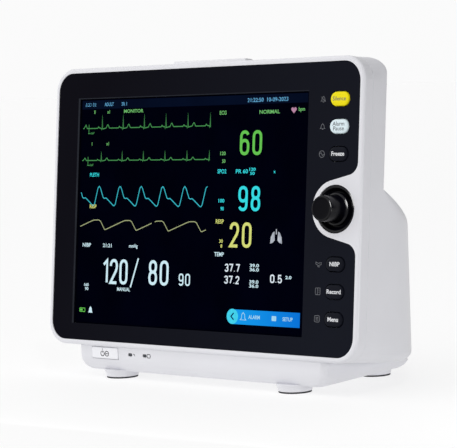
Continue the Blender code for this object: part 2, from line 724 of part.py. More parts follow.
# ---------------------------------------------------------------- alarm lamp and screws
def alarm_lamp():
    """The frosted lamp bar in the top of the housing, over its own small board."""
    top = FRAME_H / 2 + LAMP_PROUD
    rings = []
    for z, inset in ((top - 0.0074, 0), (top - 0.0012, 0), (top - 0.0004, 0.0004), (top, 0.0012)):
        outline = rounded_rect(LAMP_W - 2 * inset, LAMP_D - 2 * inset, 0.0017 - inset / 2, steps=2)
        rings.append([(LAMP_X + x, LAMP_Y + y, z) for x, y in outline])
    place("alarm_lamp_lens", loft("alarm_lamp_lens", rings), "lens_frost", FACE)
    low = (LAMP_X - 0.036, LAMP_Y - 0.004, top - 0.0094)
    high = (LAMP_X + 0.036, LAMP_Y + 0.004, top - 0.0078)
    place("alarm_lamp_board", box_mesh("alarm_lamp_board", low, high), "board_green", FACE)


def case_screws():
    """Two screws at the top of the housing's back and two under the base."""
    screw = [
        (0, 0.0022),
        (0.0020, 0.0021),
        (0.0030, 0.0014),
        (0.0030, GAP),
        (0.0014, GAP),
        (0.0014, -0.0080),
        (0, -0.0080),
    ]
    for side, (x, z) in zip(("left", "right"), SCREW_SPOTS):
        spot = (x, SLAB_DEPTH, z)
        turned(f"case_screw_top_{side}", screw, "sheet_steel", FACE, spot, BACKWARDS, 14)
    for side, x in zip(("left", "right"), (-BASE_SCREW_X, BASE_SCREW_X)):
        spot = (x, BASE_SCREW_Y, BASE_BOTTOM)
        turned(f"case_screw_base_{side}", screw, "sheet_steel", BODY, spot, (pi, 0, 0), 14)


# ---------------------------------------------------------------- base, feet and front controls
def base_ring(z, wall, side_inset, end_inset, rear_r):
    """The base's plan at height z: round corners, and sides that close in to the back."""
    taper = tan(BASE_TAPER)
    front, back = BASE_FRONT + wall + end_inset, BASE_BACK - wall - end_inset * BASE_REAR_EASE
    radii = (BASE_FRONT_R - wall, rear_r - wall)
    points = []
    for y, radius, start in ((front, radii[0], -90), (back, radii[1], 0)):
        centre_y = y + radius if y == front else y - radius
        inset = side_inset if y == front else side_inset * BASE_REAR_EASE
        half_w = BASE_HALF_W - wall - inset - taper * (centre_y - BASE_FRONT)
        points += arc(half_w - radius, centre_y, radius, start, start + 90, 6)
    points += [(-x, y) for x, y in reversed(points)]
    return [(x, y, z) for x, y in points]


def base_mesh(name, wall, top, rear_r=BASE_REAR_R):
    """The base's block, with its lower edges rounded more at the sides than at the ends."""
    bottom = BASE_BOTTOM + wall
    rings = []
    for angle in (90, 65, 40, 18, 0):
        a = radians(angle)
        rise, side, end = 0.0118 - wall, 0.0104 - wall, 0.0055 - wall
        z, turn = bottom + rise * (1 - sin(a)), 1 - cos(a)
        rings.append(base_ring(z, wall, side * turn, end * turn, rear_r))
    rings.append(base_ring(top, wall, 0, 0, rear_r))
    return loft(name, rings)


def base_tray():
    """The white base under the case: the chin, the underside and four foot bosses."""
    tray = place("base_tray", base_mesh("base_tray", 0, 0.06), "case_white", BODY)
    for name, x, y in FEET:
        top = BASE_BOTTOM + 0.0012
        levels = ((PAD_T, FOOT_R), (0.0035, FOOT_R + 0.0004), (top, FOOT_R + FOOT_FLARE))
        rings = [[(x + px, y + py, z) for px, py in circle(r, 0, 0, 28)] for z, r in levels]
        boolean(tray, loft(name + "_boss", rings), "UNION", BODY)
    boolean(tray, base_mesh("hollow", WALL, 0.07, BASE_HOLLOW_REAR_R), parent=BODY)
    lid = -FRAME_H / 2 - GAP
    boolean(tray, box_mesh("case_bottom", (-0.2, -0.03, lid), (0.2, 0.2, lid + 0.1)))
    for i, (x, width, height) in enumerate(
        ((POWER_X, POWER_W, POWER_H), (LED_XS[0], LED_W, LED_H), (LED_XS[1], LED_W, LED_H))
    ):
        edge = 0.0012 if width == POWER_W else 0.0008
        outline = rounded_rect(width + 2 * GAP, height + 2 * GAP, edge, x, POWER_Z, 2)
        cutter = flat_mesh(f"front_hole_{i}", [outline], BASE_FRONT - 0.01, BASE_FRONT + 0.008)
        boolean(tray, cutter, parent=BODY)
    door = box_mesh(
        "door_opening",
        (DOOR_X - DOOR_W / 2 - GAP, DOOR_Y - DOOR_D / 2 - GAP, 0),
        (DOOR_X + DOOR_W / 2 + GAP, DOOR_Y + DOOR_D / 2 + GAP, 0.02),
    )
    boolean(tray, door, parent=BODY)
    for x in (-BASE_SCREW_X, BASE_SCREW_X):
        hole = cylinder_mesh(f"screw_hole_{x:.2f}", 0.0018, 0.02, 12, (x, BASE_SCREW_Y, BASE_BOTTOM))
        boolean(tray, hole, parent=BODY)


def foot_pads():
    """Dark rubber pads under the four bosses."""
    top = PAD_T - GAP
    profile = [(0, top), (0.0127, top), (0.0130, top - 0.0003), (0.0128, 0), (0, 0)]
    for name, x, y in FEET:
        turned(name, profile, "rubber_dark", BODY, (x, y, 0), steps=24)


def battery_door():
    """The lid in the base's underside, below the battery."""
    half_w, half_d = DOOR_W / 2, DOOR_D / 2
    low = (-half_w, -half_d, BASE_BOTTOM)
    high = (half_w, half_d, BASE_BOTTOM + WALL)
    door = box_mesh("battery_door", low, high)
    place("battery_door", door, "case_white", BODY, (DOOR_X, DOOR_Y, 0))


def chin_controls():
    """The power key and two status lights in the front of the base."""
    front = BASE_FRONT
    flange_y = front + WALL + 0.0012  # clear of the wall, which curves in below the key
    rings = []
    for y, inset in ((front - 0.0006, 0.0006), (front - 0.0002, 0.0001), (front + 0.0004, 0)):
        outline = rounded_rect(POWER_W - 2 * inset, POWER_H - 2 * inset, 0.0010, steps=2)
        rings.append(at_depth(outline, y))
    for y, wider, lower in (
        (flange_y - 0.0008, 0, 0),
        (flange_y - 0.0004, 0, 0.0020),
        (flange_y, 0.0020, 0.0020),
        (flange_y + 0.0010, 0.0020, 0.0020),
    ):
        outline = rounded_rect(POWER_W + wider, POWER_H - lower, 0.0010, steps=2)
        rings.append(at_depth(outline, y))
    spot = (POWER_X, 0, POWER_Z)
    place("power_key", loft("power_key", rings), "case_white", BODY, spot)
    for name, x in zip(("mains_light", "battery_light"), LED_XS):
        low = (-LED_W / 2, front - 0.0001, -LED_H / 2)
        high = (LED_W / 2, front + 0.0050, LED_H / 2)
        lens = box_mesh(name, low, high, 0.0005, 1)
        place(name, lens, "led_smoke", BODY, (x, 0, POWER_Z))


# ---------------------------------------------------------------- inside the case
def boards():
    """Main board behind the screen and the measuring board behind the sockets."""
    main = box_mesh("main_board", (-0.105, 0.0200, -0.095), (0.075, 0.0216, 0.045))
    board = place("main_board", main, "board_green", FACE)
    chips = (
        ("processor", (-0.055, 0.0210, -0.050), (-0.020, 0.0250, -0.015)),
        ("memory", (-0.005, 0.0210, -0.045), (0.020, 0.0235, -0.010)),
        ("connectors", (-0.095, 0.0210, 0.025), (0.040, 0.0270, 0.036)),
    )
    for name, low, high in chips:
        boolean(board, box_mesh(name, low, high), "UNION")

    low, high = (-0.030, 0.0145, -0.038), (0.030, 0.0161, 0.036)
    place("measuring_board", box_mesh("measuring_board", low, high), "board_green", SIDE)


def power_pack():
    """Mains power supply in its steel can, and the battery over its door."""
    supply = box_mesh("power_supply", (0.012, 0.040, 0.026), (0.100, 0.098, 0.060), 0.0015, 1)
    place("power_supply", supply, "sheet_steel", BODY)
    low, high = (-0.083, 0.045, 0.0100), (-0.007, 0.091, 0.0320)
    battery = box_mesh("battery_pack", low, high, 0.003)
    place("battery_pack", battery, "battery_blue", BODY)


def pump():
    """Cuff pump and its valve block."""
    body = cylinder_mesh("nibp_pump", 0.0130, 0.0520, 24, axis="X")
    place("nibp_pump", body, "plug_grey", BODY, (-0.052, 0.075, 0.0530))
    valve = box_mesh("nibp_valve", (-0.080, 0.040, 0.068), (-0.050, 0.062, 0.084), 0.001, 1)
    place("nibp_valve", valve, "brass", BODY)


def speaker():
    """The loudspeaker behind the left slots, with its cone facing the wall."""
    cone = [
        (0, -0.0020),
        (0.0060, -0.0010),
        (0.0165, 0.0068),
        (0.0175, 0.0080),
        (0.0200, 0.0080),
        (0.0200, 0.0060),
        (0.0120, -0.0040),
        (0.0120, -0.0080),
        (0, -0.0080),
    ]
    spot = (-FAN_X, BACK_Y - WALL - 0.0086, FAN_Z)
    turned("speaker", cone, "plug_grey", BODY, spot, BACKWARDS, 24)


def fan():
    """The cooling fan behind the right slots: a square frame and a bladed rotor."""
    half, thick = FAN_SIZE / 2, FAN_T / 2
    y = BACK_Y - WALL - GAP - thick
    edge = rounded_rect(FAN_SIZE, FAN_SIZE, 0.003, steps=2)
    ring = flat_mesh("fan_frame", [edge, circle(half - 0.0012, steps=28)], -thick, thick)
    spot = (FAN_X, y, FAN_Z)
    frame = place("fan_frame", ring, "plug_grey", BODY, spot)
    low, high = (-half + 0.0006, -thick, -0.0015), (half - 0.0006, -thick + 0.0015, 0.0015)
    spider = box_mesh("spider", low, high)
    boolean(frame, spider, "UNION", BODY, spot)

    hub_r, tip_r = 0.0085, 0.0180
    low, high = -thick + 0.0020, thick - 0.0008
    hub = cylinder_mesh("fan_rotor", hub_r, high - low, 20, (0, (low + high) / 2, 0), "Y")
    rotor = place("fan_rotor", hub, "key_black", BODY, spot)
    for i in range(7):
        blade = box_mesh(
            f"blade_{i}", (-0.0005, -0.0036, hub_r - 0.0015), (0.0005, 0.0036, tip_r)
        )
        twist = Matrix.Rotation(2 * pi * i / 7, 4, "Y") @ Matrix.Rotation(radians(35), 4, "Z")
        blade.transform(Matrix.Translation((0, (low + high) / 2, 0)) @ twist)
        boolean(rotor, blade, "UNION", BODY, spot)


front_frame()
front_panel()
screen()
keys()
key_board()
knob()
rear_housing()
side_sockets()
rear_ports()
alarm_lamp()
case_screws()
base_tray()
foot_pads()
battery_door()
chin_controls()
boards()
power_pack()
pump()
speaker()
fan()
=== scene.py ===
"""Looks of the bedside patient monitor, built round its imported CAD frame.

Lengths are metres in the row frame. The front is laid out in the face frame, whose origin is
the middle of the black panel: its Z runs up the panel and its Y runs straight into the case.
"""

import json

from math import atan2, copysign, cos, pi, radians, sin, sqrt, tan

import bmesh
import bpy
from mathutils import Matrix, Vector


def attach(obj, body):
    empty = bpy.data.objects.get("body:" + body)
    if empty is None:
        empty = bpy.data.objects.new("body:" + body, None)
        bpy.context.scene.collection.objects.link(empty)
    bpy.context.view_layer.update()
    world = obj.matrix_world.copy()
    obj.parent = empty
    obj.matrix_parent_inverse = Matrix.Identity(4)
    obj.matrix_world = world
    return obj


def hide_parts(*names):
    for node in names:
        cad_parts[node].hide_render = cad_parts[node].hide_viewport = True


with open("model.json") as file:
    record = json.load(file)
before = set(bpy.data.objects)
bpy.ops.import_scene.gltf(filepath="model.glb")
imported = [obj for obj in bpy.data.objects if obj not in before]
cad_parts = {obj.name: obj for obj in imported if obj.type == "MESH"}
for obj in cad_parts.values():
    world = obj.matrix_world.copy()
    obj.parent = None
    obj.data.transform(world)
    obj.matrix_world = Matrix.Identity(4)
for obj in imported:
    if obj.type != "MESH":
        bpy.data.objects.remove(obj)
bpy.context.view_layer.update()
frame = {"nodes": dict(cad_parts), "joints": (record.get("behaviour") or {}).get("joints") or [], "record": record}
NODES = frame["nodes"]

# ---------------------------------------------------------------- frames and shared sizes
JOINTS = {joint["name"]: joint for joint in frame["joints"]}
knob_axis = Vector(JOINTS["knob_turn"]["axis"])
knob_at = Vector(JOINTS["knob_turn"]["pos_m"])
TILT = atan2(knob_axis.z, -knob_axis.y)
KNOB_X = knob_at.x
FACE = Matrix.Translation((0, knob_at.y, knob_at.z)) @ Matrix.Rotation(-TILT, 4, "X")
BODY = Matrix.Translation((0, knob_at.y, 0))
WORLD = Matrix.Identity(4)
SHARP = radians(34)  # edges that turn more than this stay sharp

GAP, WALL = 0.0003, 0.0025
SEAM = 0.00012  # how far the rim steps in behind, at its seam
FRAME_W, FRAME_H = 0.3310, 0.2298
FRAME_BACK, FRAME_FRONT = 0.0120, -0.0005
CORNER_R = 0.0190
SIDE_TAPER = radians(9.0)
PANEL_W, PANEL_H, PANEL_R = 0.3223, 0.2215, 0.0155
PANEL_T, PANEL_SEAT, FLOOR_T = 0.0020, 0.0023, 0.0020
SCREEN_X, SCREEN_Z = -0.0122, -0.0040
SCREEN_W, SCREEN_H = 0.2460, 0.1845
GLASS_Y = 0.0014
DISH_R = 0.0180
BITE_R, BITE_SLOPE, BITE_FILLET = 0.0220, radians(13.5), 0.0100
KEY_X, KEY_PITCH = 0.1422, 0.0206
KEY_W, KEY_H, KEY_GAP, KEY_PROUD = 0.0180, 0.0110, 0.0004, 0.0012
KEY_STEPS = {
    "key_silence": 4,
    "key_alarm_pause": 3,
    "key_freeze": 2,
    "key_nibp": -2,
    "key_record": -3,
    "key_menu": -4,
}

SLAB_DEPTH, HUMP_DEPTH = 0.0366, 0.1310
SHOULDER_Z, SHOULDER_DROP = 0.0160, 0.0250
SLAB_CORNER_R, HUMP_CORNER_R, HUMP_CORNER_EASE = 0.0070, 0.1010, 0.0300
TOP_EDGE_R, LOWER_EDGE_R = 0.0115, 0.0085
BACK_Y = HUMP_DEPTH * cos(TILT)
LAMP_W, LAMP_D, LAMP_X, LAMP_Y = 0.0786, 0.0100, -0.0048, 0.0185
GRIP_W, GRIP_Z0, GRIP_Z1, GRIP_DEPTH = 0.1080, 0.0620, 0.0920, 0.0160
SIDE_ANGLE = radians(14.0)
SIDE_X, SIDE_Y, SIDE_Z = 0.1568, 0.0480, 0.0830
SIDE_W, SIDE_H, SIDE_DEPTH = 0.0660, 0.0840, 0.0065
SOCKETS = {
    "ecg_socket": (-0.0150, 0.0230, 0.0085),
    "spo2_socket": (0.0150, 0.0230, 0.0075),
    "temp_socket_1": (-0.0150, -0.0040, 0.0055),
    "temp_socket_2": (0.0150, -0.0040, 0.0055),
    "nibp_fitting": (0.0000, -0.0270, 0.0055),
}
PORT_W, PORT_H, PORT_Z, PORT_DEPTH = 0.0860, 0.0280, 0.0480, 0.0090
INLET_X, INLET_W, INLET_H = 0.0240, 0.0280, 0.0200
STUD_X, NETWORK_X = -0.0020, -0.0270
NETWORK_W, NETWORK_H = 0.0166, 0.0146
SCREW_R = 0.0018
FAN_X, FAN_Z = 0.0220, 0.0900
SCREW_SPOTS = ((-0.1350, 0.0850), (0.1350, 0.0850))
SIDE_NORMAL = Vector((-cos(SIDE_ANGLE), sin(SIDE_ANGLE), 0))
SIDE_AT = Vector((-SIDE_X, knob_at.y + SIDE_Y, SIDE_Z)) - SIDE_NORMAL * SIDE_DEPTH
SIDE = Matrix.Translation(SIDE_AT) @ Matrix.Rotation(-pi / 2 - SIDE_ANGLE, 4, "Z")

BASE_HALF_W, BASE_FRONT, BASE_BACK, BASE_BOTTOM = 0.1325, -0.0100, 0.1200, 0.0058
BASE_REAR_EASE = 1.1  # the rear lower edges are rounded this many times more
BASE_TAPER = radians(5.40)
BASE_FRONT_R, BASE_REAR_R, BASE_HOLLOW_REAR_R = 0.0055, 0.0160, 0.0600
FOOT_R, FOOT_FLARE, PAD_T = 0.0132, 0.0016, 0.0012
FEET = ((-0.0930, 0.0015), (0.0930, 0.0015), (-0.0930, 0.1000), (0.0930, 0.1000))
BASE_SCREWS = ((-0.0600, 0.0200), (0.0600, 0.0200))
DOOR_W, DOOR_D, DOOR_X, DOOR_Y = 0.0840, 0.0500, -0.0450, 0.0680
POWER_X, POWER_Z, POWER_W, POWER_H = -0.1005, 0.0205, 0.0300, 0.0094
LED_XS = (-0.0718, -0.0554)
LED_W, LED_H = 0.0040, 0.0020


# ---------------------------------------------------------------- materials
def new_material(name):
    made = bpy.data.materials.new(name)
    made.use_nodes = True
    return made, made.node_tree, made.node_tree.nodes["Principled BSDF"]


def feed(tree, node, inputs):
    """Gives each socket of node its value, or links it to the output that feeds it."""
    for socket, value in inputs.items():
        if isinstance(value, bpy.types.NodeSocket):
            tree.links.new(value, node.inputs[socket])
        else:
            node.inputs[socket].default_value = value


def add_node(tree, kind, inputs=None, **settings):
    node = tree.nodes.new("ShaderNode" + kind)
    for name, value in settings.items():
        setattr(node, name, value)
    feed(tree, node, inputs or {})
    return node


def coordinates(tree):
    return add_node(tree, "TexCoord").outputs["Object"]


def across(tree):
    """The object's own X, in metres."""
    return add_node(tree, "SeparateXYZ", {"Vector": coordinates(tree)}).outputs["X"]


def vector_math(tree, operation, *terms):
    return add_node(tree, "VectorMath", dict(enumerate(terms)), operation=operation).outputs


def noise(tree, scale, detail=2.0, roughness=0.5, vector=None):
    """Noise over the object's own coordinates; scale is in features per metre."""
    inputs = {"Scale": scale, "Detail": detail, "Roughness": roughness}
    inputs["Vector"] = vector or coordinates(tree)
    return add_node(tree, "TexNoise", inputs).outputs["Fac"]


def spread(tree, value, low, high, start=0.3, end=0.7):
    """value, from start to end, as a number from low to high."""
    inputs = {"Value": value, "From Min": start, "From Max": end, "To Min": low, "To Max": high}
    return add_node(tree, "MapRange", inputs).outputs["Result"]


def two_tone(tree, value, first, second):
    """A colour between first and second by value."""
    inputs = {0: value, 6: (*first, 1), 7: (*second, 1)}
    return add_node(tree, "Mix", inputs, data_type="RGBA").outputs[2]


def camera_or(tree, seen, lit):
    """seen for the camera's own rays, and lit for all others."""
    is_camera = add_node(tree, "LightPath").outputs["Is Camera Ray"]
    return add_node(tree, "Mix", {0: is_camera, 2: lit, 3: seen}).outputs[0]


def bump(tree, shader, height, strength, distance):
    inputs = {"Height": height, "Strength": strength, "Distance": distance}
    feed(tree, shader, {"Normal": add_node(tree, "Bump", inputs).outputs["Normal"]})


def surface(name, colour, roughness, grain, depth, mottle, specular=0.5, coat=0.0):
    """Moulded or coated finish: grain in the surface, faint mottling and uneven gloss."""
    made, tree, shader = new_material(name)
    cloud = spread(tree, noise(tree, 28, 3.0), 0, 1)
    fine = noise(tree, grain, 3.0, 0.6)
    darker = [c * (1 - mottle) for c in colour]
    lighter = [min(1.0, c * (1 + mottle)) for c in colour]
    feed(tree, shader, {
        "Base Color": two_tone(tree, cloud, darker, lighter),
        "Roughness": spread(tree, fine, roughness * 0.88, min(1.0, roughness * 1.12)),
        "Specular IOR Level": specular,
        "Coat Weight": coat,
        "Coat Roughness": 0.08,
    })
    bump(tree, shader, fine, 0.35, depth)
    return made


def brushed(name, colour, roughness, along=(1, 1, 40)):
    """Metal with fine lines across the stretched axis."""
    made, tree, shader = new_material(name)
    stretched = add_node(tree, "Mapping", {"Vector": coordinates(tree), "Scale": along})
    lines = noise(tree, 160, 4, 0.5, stretched.outputs["Vector"])
    darker, lighter = [c * 0.86 for c in colour], [min(1, c * 1.1) for c in colour]
    feed(tree, shader, {
        "Base Color": two_tone(tree, lines, darker, lighter),
        "Roughness": spread(tree, lines, roughness * 0.75, roughness * 1.3),
        "Metallic": 1.0,
    })
    bump(tree, shader, lines, 0.2, 0.00003)
    return made


def board_finish(name):
    """Green solder resist with lighter copper lines under it."""
    made, tree, shader = new_material(name)
    inputs = {"Vector": coordinates(tree), "Scale": 180}
    cells = add_node(tree, "TexVoronoi", inputs, distance="MANHATTAN")
    lines = spread(tree, cells.outputs["Distance"], 0, 1, 0.3, 0.34)
    tone = two_tone(tree, lines, (0.015, 0.10, 0.05), (0.03, 0.20, 0.09))
    feed(tree, shader, {"Base Color": tone, "Roughness": 0.4})
    bump(tree, shader, lines, 0.3, 0.00004)
    return made


def panel_with_painted_reflection(name):
    """Gloss black back-printed plastic whose colour holds a painted reflection: a touch bluer and lighter to the
    lower right.
    """
    made, tree, shader = new_material(name)
    # painted reflection: the base colour runs from dark at the upper left to bluer and lighter at the lower right
    lean = vector_math(tree, "DOT_PRODUCT", coordinates(tree), (3.1, 0, -1.25))["Value"]
    run = spread(tree, lean, 0, 1, -0.646, 0.354)
    waves = noise(tree, 60, 2.0)
    feed(tree, shader, {
        "Base Color": two_tone(tree, run, (0.0017, 0.0014, 0.0045), (0.0080, 0.0092, 0.0152)),
        "Roughness": spread(tree, waves, 0.13, 0.19),
        "Specular IOR Level": 0.02,
    })
    bump(tree, shader, waves, 0.1, 0.00002)
    return made


def knob_finish(name, satin, polished):
    """Black plastic, satin up to satin metres from the knob's axis and glossier by polished."""
    made = surface(name, (0.0003, 0.0003, 0.0007), 0.20, 900, 0.000002, 0.2)
    tree = made.node_tree
    offset = vector_math(tree, "SUBTRACT", coordinates(tree), knob_at)["Vector"]
    axis = FACE.to_3x3() @ Vector((0, 1, 0))
    around = vector_math(tree, "CROSS_PRODUCT", offset, axis)["Vector"]
    radius = vector_math(tree, "LENGTH", around)["Value"]
    gloss = spread(tree, radius, 0.05, 0.20, satin, polished)
    feed(tree, tree.nodes["Principled BSDF"], {"Specular IOR Level": gloss})
    return made


def emitter(name):
    """A black material that shines: its Emission Color is still to be fed."""
    made, tree, shader = new_material(name)
    dark = {"Base Color": (0, 0, 0, 1), "Specular IOR Level": 0.0, "Emission Strength": 1.0}
    feed(tree, shader, dark)
    return made, tree, shader


def glow(name, colour, second=None, scale=500):
    """A lit display colour, with a faint grain between it and a darker or second tone."""
    made, tree, shader = emitter(name)
    grain = spread(tree, noise(tree, scale, 1.0), 0, 1)
    tone = two_tone(tree, grain, second or [c * 0.86 for c in colour], colour)
    feed(tree, shader, {"Emission Color": tone})
    return made


def srgb(red, green, blue):
    """Display values from 0 to 255 as linear colour."""
    values = [v / 255 for v in (red, green, blue)]
    return [v / 12.92 if v <= 0.04045 else ((v + 0.055) / 1.055) ** 2.4 for v in values]


# each row: colour, roughness, grains per metre, depth of grain, mottling, any gloss and coat
SURFACES = {
    "case_white": ((0.775, 0.775, 0.815), 0.36, 1500, 0.00003, 0.012),
    "screen_navy": ((0.0003, 0.0005, 0.0038), 0.14, 200, 0.000002, 0.2, 0.0),
    "key_yellow": ((0.92, 0.78, 0.0005), 0.45, 2200, 0.00003, 0.02, 0.15),
    "key_pale": ((0.74, 0.87, 0.92), 0.45, 2200, 0.00003, 0.02),
    "key_black": ((0.0060, 0.0070, 0.0125), 0.30, 2200, 0.00001, 0.1, 0.05),
    "rubber_dark": ((0.035, 0.035, 0.040), 0.85, 1200, 0.00008, 0.1, 0.3),
    "lens_frost": ((0.84, 0.84, 0.87), 0.28, 2500, 0.00002, 0.015, 0.5, 0.2),
    "led_smoke": ((0.05, 0.055, 0.065), 0.20, 2500, 0.00001, 0.1),
    "plug_grey": ((0.055, 0.058, 0.066), 0.48, 1500, 0.00005, 0.06),
    "socket_blue": ((0.03, 0.12, 0.38), 0.42, 1500, 0.00004, 0.04),
    "socket_white": ((0.70, 0.70, 0.70), 0.42, 1500, 0.00004, 0.03),
    "battery_blue": ((0.04, 0.08, 0.20), 0.5, 700, 0.00008, 0.08),
    "power_key_white": ((0.90, 0.90, 0.94), 0.34, 1500, 0.00003, 0.012),
    # painted highlight: a lighter line that stands for light caught on the window's bevel
    "window_line": ((0.018, 0.020, 0.027), 0.4, 600, 0.000004, 0.2, 0.02),
    "ink_dark": ((0.012, 0.012, 0.018), 0.5, 1800, 0.00001, 0.08),
    "ink_grey": ((0.11, 0.115, 0.13), 0.5, 1800, 0.00001, 0.08),
    "ink_white": ((0.72, 0.73, 0.76), 0.5, 1800, 0.00001, 0.03),
}
MATERIALS = {name: surface(name, *look) for name, look in SURFACES.items()}
MATERIALS["panel_black"] = panel_with_painted_reflection("panel_black")
MATERIALS["knob_black"] = knob_finish("knob_black", 0.0078, 0.0088)
MATERIALS["dish_black"] = knob_finish("dish_black", 0.0150, 0.0162)
MATERIALS["board_green"] = board_finish("board_green")
MATERIALS["sheet_steel"] = brushed("sheet_steel", (0.60, 0.61, 0.63), 0.32)
MATERIALS["brass"] = brushed("brass", (0.72, 0.52, 0.22), 0.28, (40, 1, 1))
MATERIALS["contact_gold"] = brushed("contact_gold", (0.86, 0.62, 0.24), 0.22, (1, 40, 1))


# ---------------------------------------------------------------- mesh helpers
def mesh_of(bm, name):
    bmesh.ops.recalc_face_normals(bm, faces=bm.faces)
    mesh = bpy.data.meshes.new(name)
    bm.to_mesh(mesh)
    bm.free()
    return mesh


def placed(name, mesh, finish, body, place):
    """An object of one finish on a CAD body. Its mesh is laid out in place's frame."""
    mesh.transform(place)
    mesh.materials.clear()
    mesh.materials.append(MATERIALS[finish] if isinstance(finish, str) else finish)
    obj = bpy.data.objects.new(name, mesh)
    bpy.context.scene.collection.objects.link(obj)
    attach(obj, body)
    return obj


def piece(name, mesh, body, place=FACE, replaces=None, slot=None, finish=None):
    """A smooth-shaded piece on a CAD body. It may hide the CAD node that it stands in for, and takes the finish
    named by slot unless finish is given.
    """
    obj = placed(name, mesh, finish or slot, body, place)
    mesh.shade_smooth()
    mesh.set_sharp_from_angle(angle=SHARP)
    obj.modifiers.new("even_shading", "WEIGHTED_NORMAL").keep_sharp = True
    if replaces:
        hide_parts(replaces)


def add_loft(bm, rings, caps=(0, -1), closed=False):
    """Faces through rings of equally many points, with a cap on each ring that caps names."""
    rows = [[bm.verts.new(point) for point in ring] for ring in rings]
    for low, high in zip(rows, rows[1:] + (rows[:1] if closed else [])):
        for i in range(len(low)):
            j = (i + 1) % len(low)
            bm.faces.new((low[i], low[j], high[j], high[i]))
    for end in caps:
        bm.faces.new(rows[end])


def loft(name, rings, **ends):
    bm = bmesh.new()
    add_loft(bm, rings, **ends)
    return mesh_of(bm, name)


def box_mesh(name, low, high, bevel=0.0):
    bm = bmesh.new()
    low, high = Vector(low), Vector(high)
    size = Matrix.Diagonal((*(high - low), 1))
    bmesh.ops.create_cube(bm, size=1, matrix=Matrix.Translation((low + high) / 2) @ size)
    if bevel:
        edges = bm.edges[:]
        bmesh.ops.bevel(bm, geom=edges, offset=bevel, segments=6, profile=0.5, affect="EDGES")
    return mesh_of(bm, name)


def block(name, x, z, width, height, y0, y1, bevel=0.0):
    """A box centred on (x, z), between depths y0 and y1."""
    low = (x - width / 2, y0, z - height / 2)
    return box_mesh(name, low, (x + width / 2, y1, z + height / 2), bevel)


def lathe(name, profile, steps=64, **ends):
    """A turned mesh: profile is (radius, height), turned about the height axis, -Y."""
    return loft(name, [at_depth(circle(r, steps=steps), -h) for r, h in profile], **ends)


def cylinder(name, radius, y0, y1, x=0.0, z=0.0, steps=48):
    """A cylinder along Y."""
    mesh = lathe(name, [(radius, -y0), (radius, -y1)], steps)
    mesh.transform(Matrix.Translation((x, 0, z)))
    return mesh


def plate(name, outlines, y0, y1):
    """A plate between depths y0 and y1. The first outline is its edge, the others are holes."""
    curve = bpy.data.curves.new(name, "CURVE")
    curve.dimensions = "2D"
    curve.fill_mode = "BOTH"
    curve.extrude = abs(y1 - y0) / 2
    for outline in outlines:
        spline = curve.splines.new("POLY")
        spline.points.add(len(outline) - 1)
        for point, (x, z) in zip(spline.points, outline):
            point.co = (x, z, 0, 1)
        spline.use_cyclic_u = True
    mesh = baked(bpy.data.objects.new(name, curve), name)
    mesh.transform(Matrix.Translation((0, (y0 + y1) / 2, 0)) @ Matrix.Rotation(pi / 2, 4, "X"))
    return mesh


def baked(obj, name):
    """obj's evaluated mesh, with its doubled points joined. obj is removed."""
    bpy.context.scene.collection.objects.link(obj)
    graph = bpy.context.evaluated_depsgraph_get()
    bm = bmesh.new()
    bm.from_mesh(bpy.data.meshes.new_from_object(obj.evaluated_get(graph)))
    bpy.data.objects.remove(obj)
    bmesh.ops.remove_doubles(bm, verts=bm.verts, dist=1e-6)
    return mesh_of(bm, name)


def carve(mesh, cuts, joins=()):
    """mesh with the joins added and then the cuts taken away. Each is (mesh, its frame)."""
    target = bpy.data.objects.new(mesh.name, mesh)
    helpers = []
    for kind, group in (("UNION", joins), ("DIFFERENCE", cuts)):
        for other, place in group:
            other.transform(place)
            helper = bpy.data.objects.new(other.name, other)
            bpy.context.scene.collection.objects.link(helper)
            helpers.append(helper)
            modifier = target.modifiers.new(other.name, "BOOLEAN")
            modifier.operation = kind
            modifier.solver = "EXACT"
            modifier.object = helper
    result = baked(target, mesh.name)
    for helper in helpers:
        bpy.data.objects.remove(helper)
    return result


def arc(x, z, radius, start, end, steps):
    turns = [radians(start + (end - start) * i / steps) for i in range(steps + 1)]
    return [(x + radius * cos(a), z + radius * sin(a)) for a in turns]


def rounded_rect(width, height, radius, x=0.0, z=0.0, steps=12):
    dx, dz = width / 2 - radius, height / 2 - radius
    points = []
    for i, (sx, sz) in enumerate(((1, -1), (1, 1), (-1, 1), (-1, -1))):
        start = -90 + 90 * i
        points += arc(x + sx * dx, z + sz * dz, radius, start, start + 90, steps)
    return points


def stadium(width, height, x=0.0, z=0.0, steps=16):
    dx = (width - height) / 2
    right = arc(x + dx, z, height / 2, -90, 90, steps)
    return right + arc(x - dx, z, height / 2, 90, 270, steps)


def circle(radius, x=0.0, z=0.0, steps=48):
    return arc(x, z, radius, 0, 360, steps)[:-1]


def at_depth(outline, y):
    return [(x, y, z) for x, z in outline]


def panel_outline(grow=0.0):
    """The black panel's edge, which swings in round the knob."""
    half_w, half_h = PANEL_W / 2 + grow, PANEL_H / 2 + grow
    corner, bite, fillet = PANEL_R + grow, BITE_R - grow, BITE_FILLET + grow
    touch_x, touch_z = KNOB_X - bite * sin(BITE_SLOPE), bite * cos(BITE_SLOPE)
    fillet_x = half_w - fillet
    fillet_z = touch_z + (fillet + sin(BITE_SLOPE) * (fillet_x - touch_x)) / cos(BITE_SLOPE)
    turn = 90 - BITE_SLOPE * 180 / pi
    dx, dz = half_w - corner, half_h - corner
    points = arc(-dx, dz, corner, 180, 90, 14) + arc(dx, dz, corner, 90, 0, 14)
    points += arc(fillet_x, fillet_z, fillet, 0, -turn, 12)
    points += arc(KNOB_X, 0, bite, 180 - turn, 180 + turn, 40)
    points += arc(fillet_x, -fillet_z, fillet, turn, 0, 12)
    return points + arc(dx, -dz, corner, 0, -90, 14) + arc(-dx, -dz, corner, -90, -180, 14)


def key_outlines(grow):
    return [
        stadium(KEY_W + 2 * grow, KEY_H + 2 * grow, KEY_X, step * KEY_PITCH)
        for step in KEY_STEPS.values()
    ]


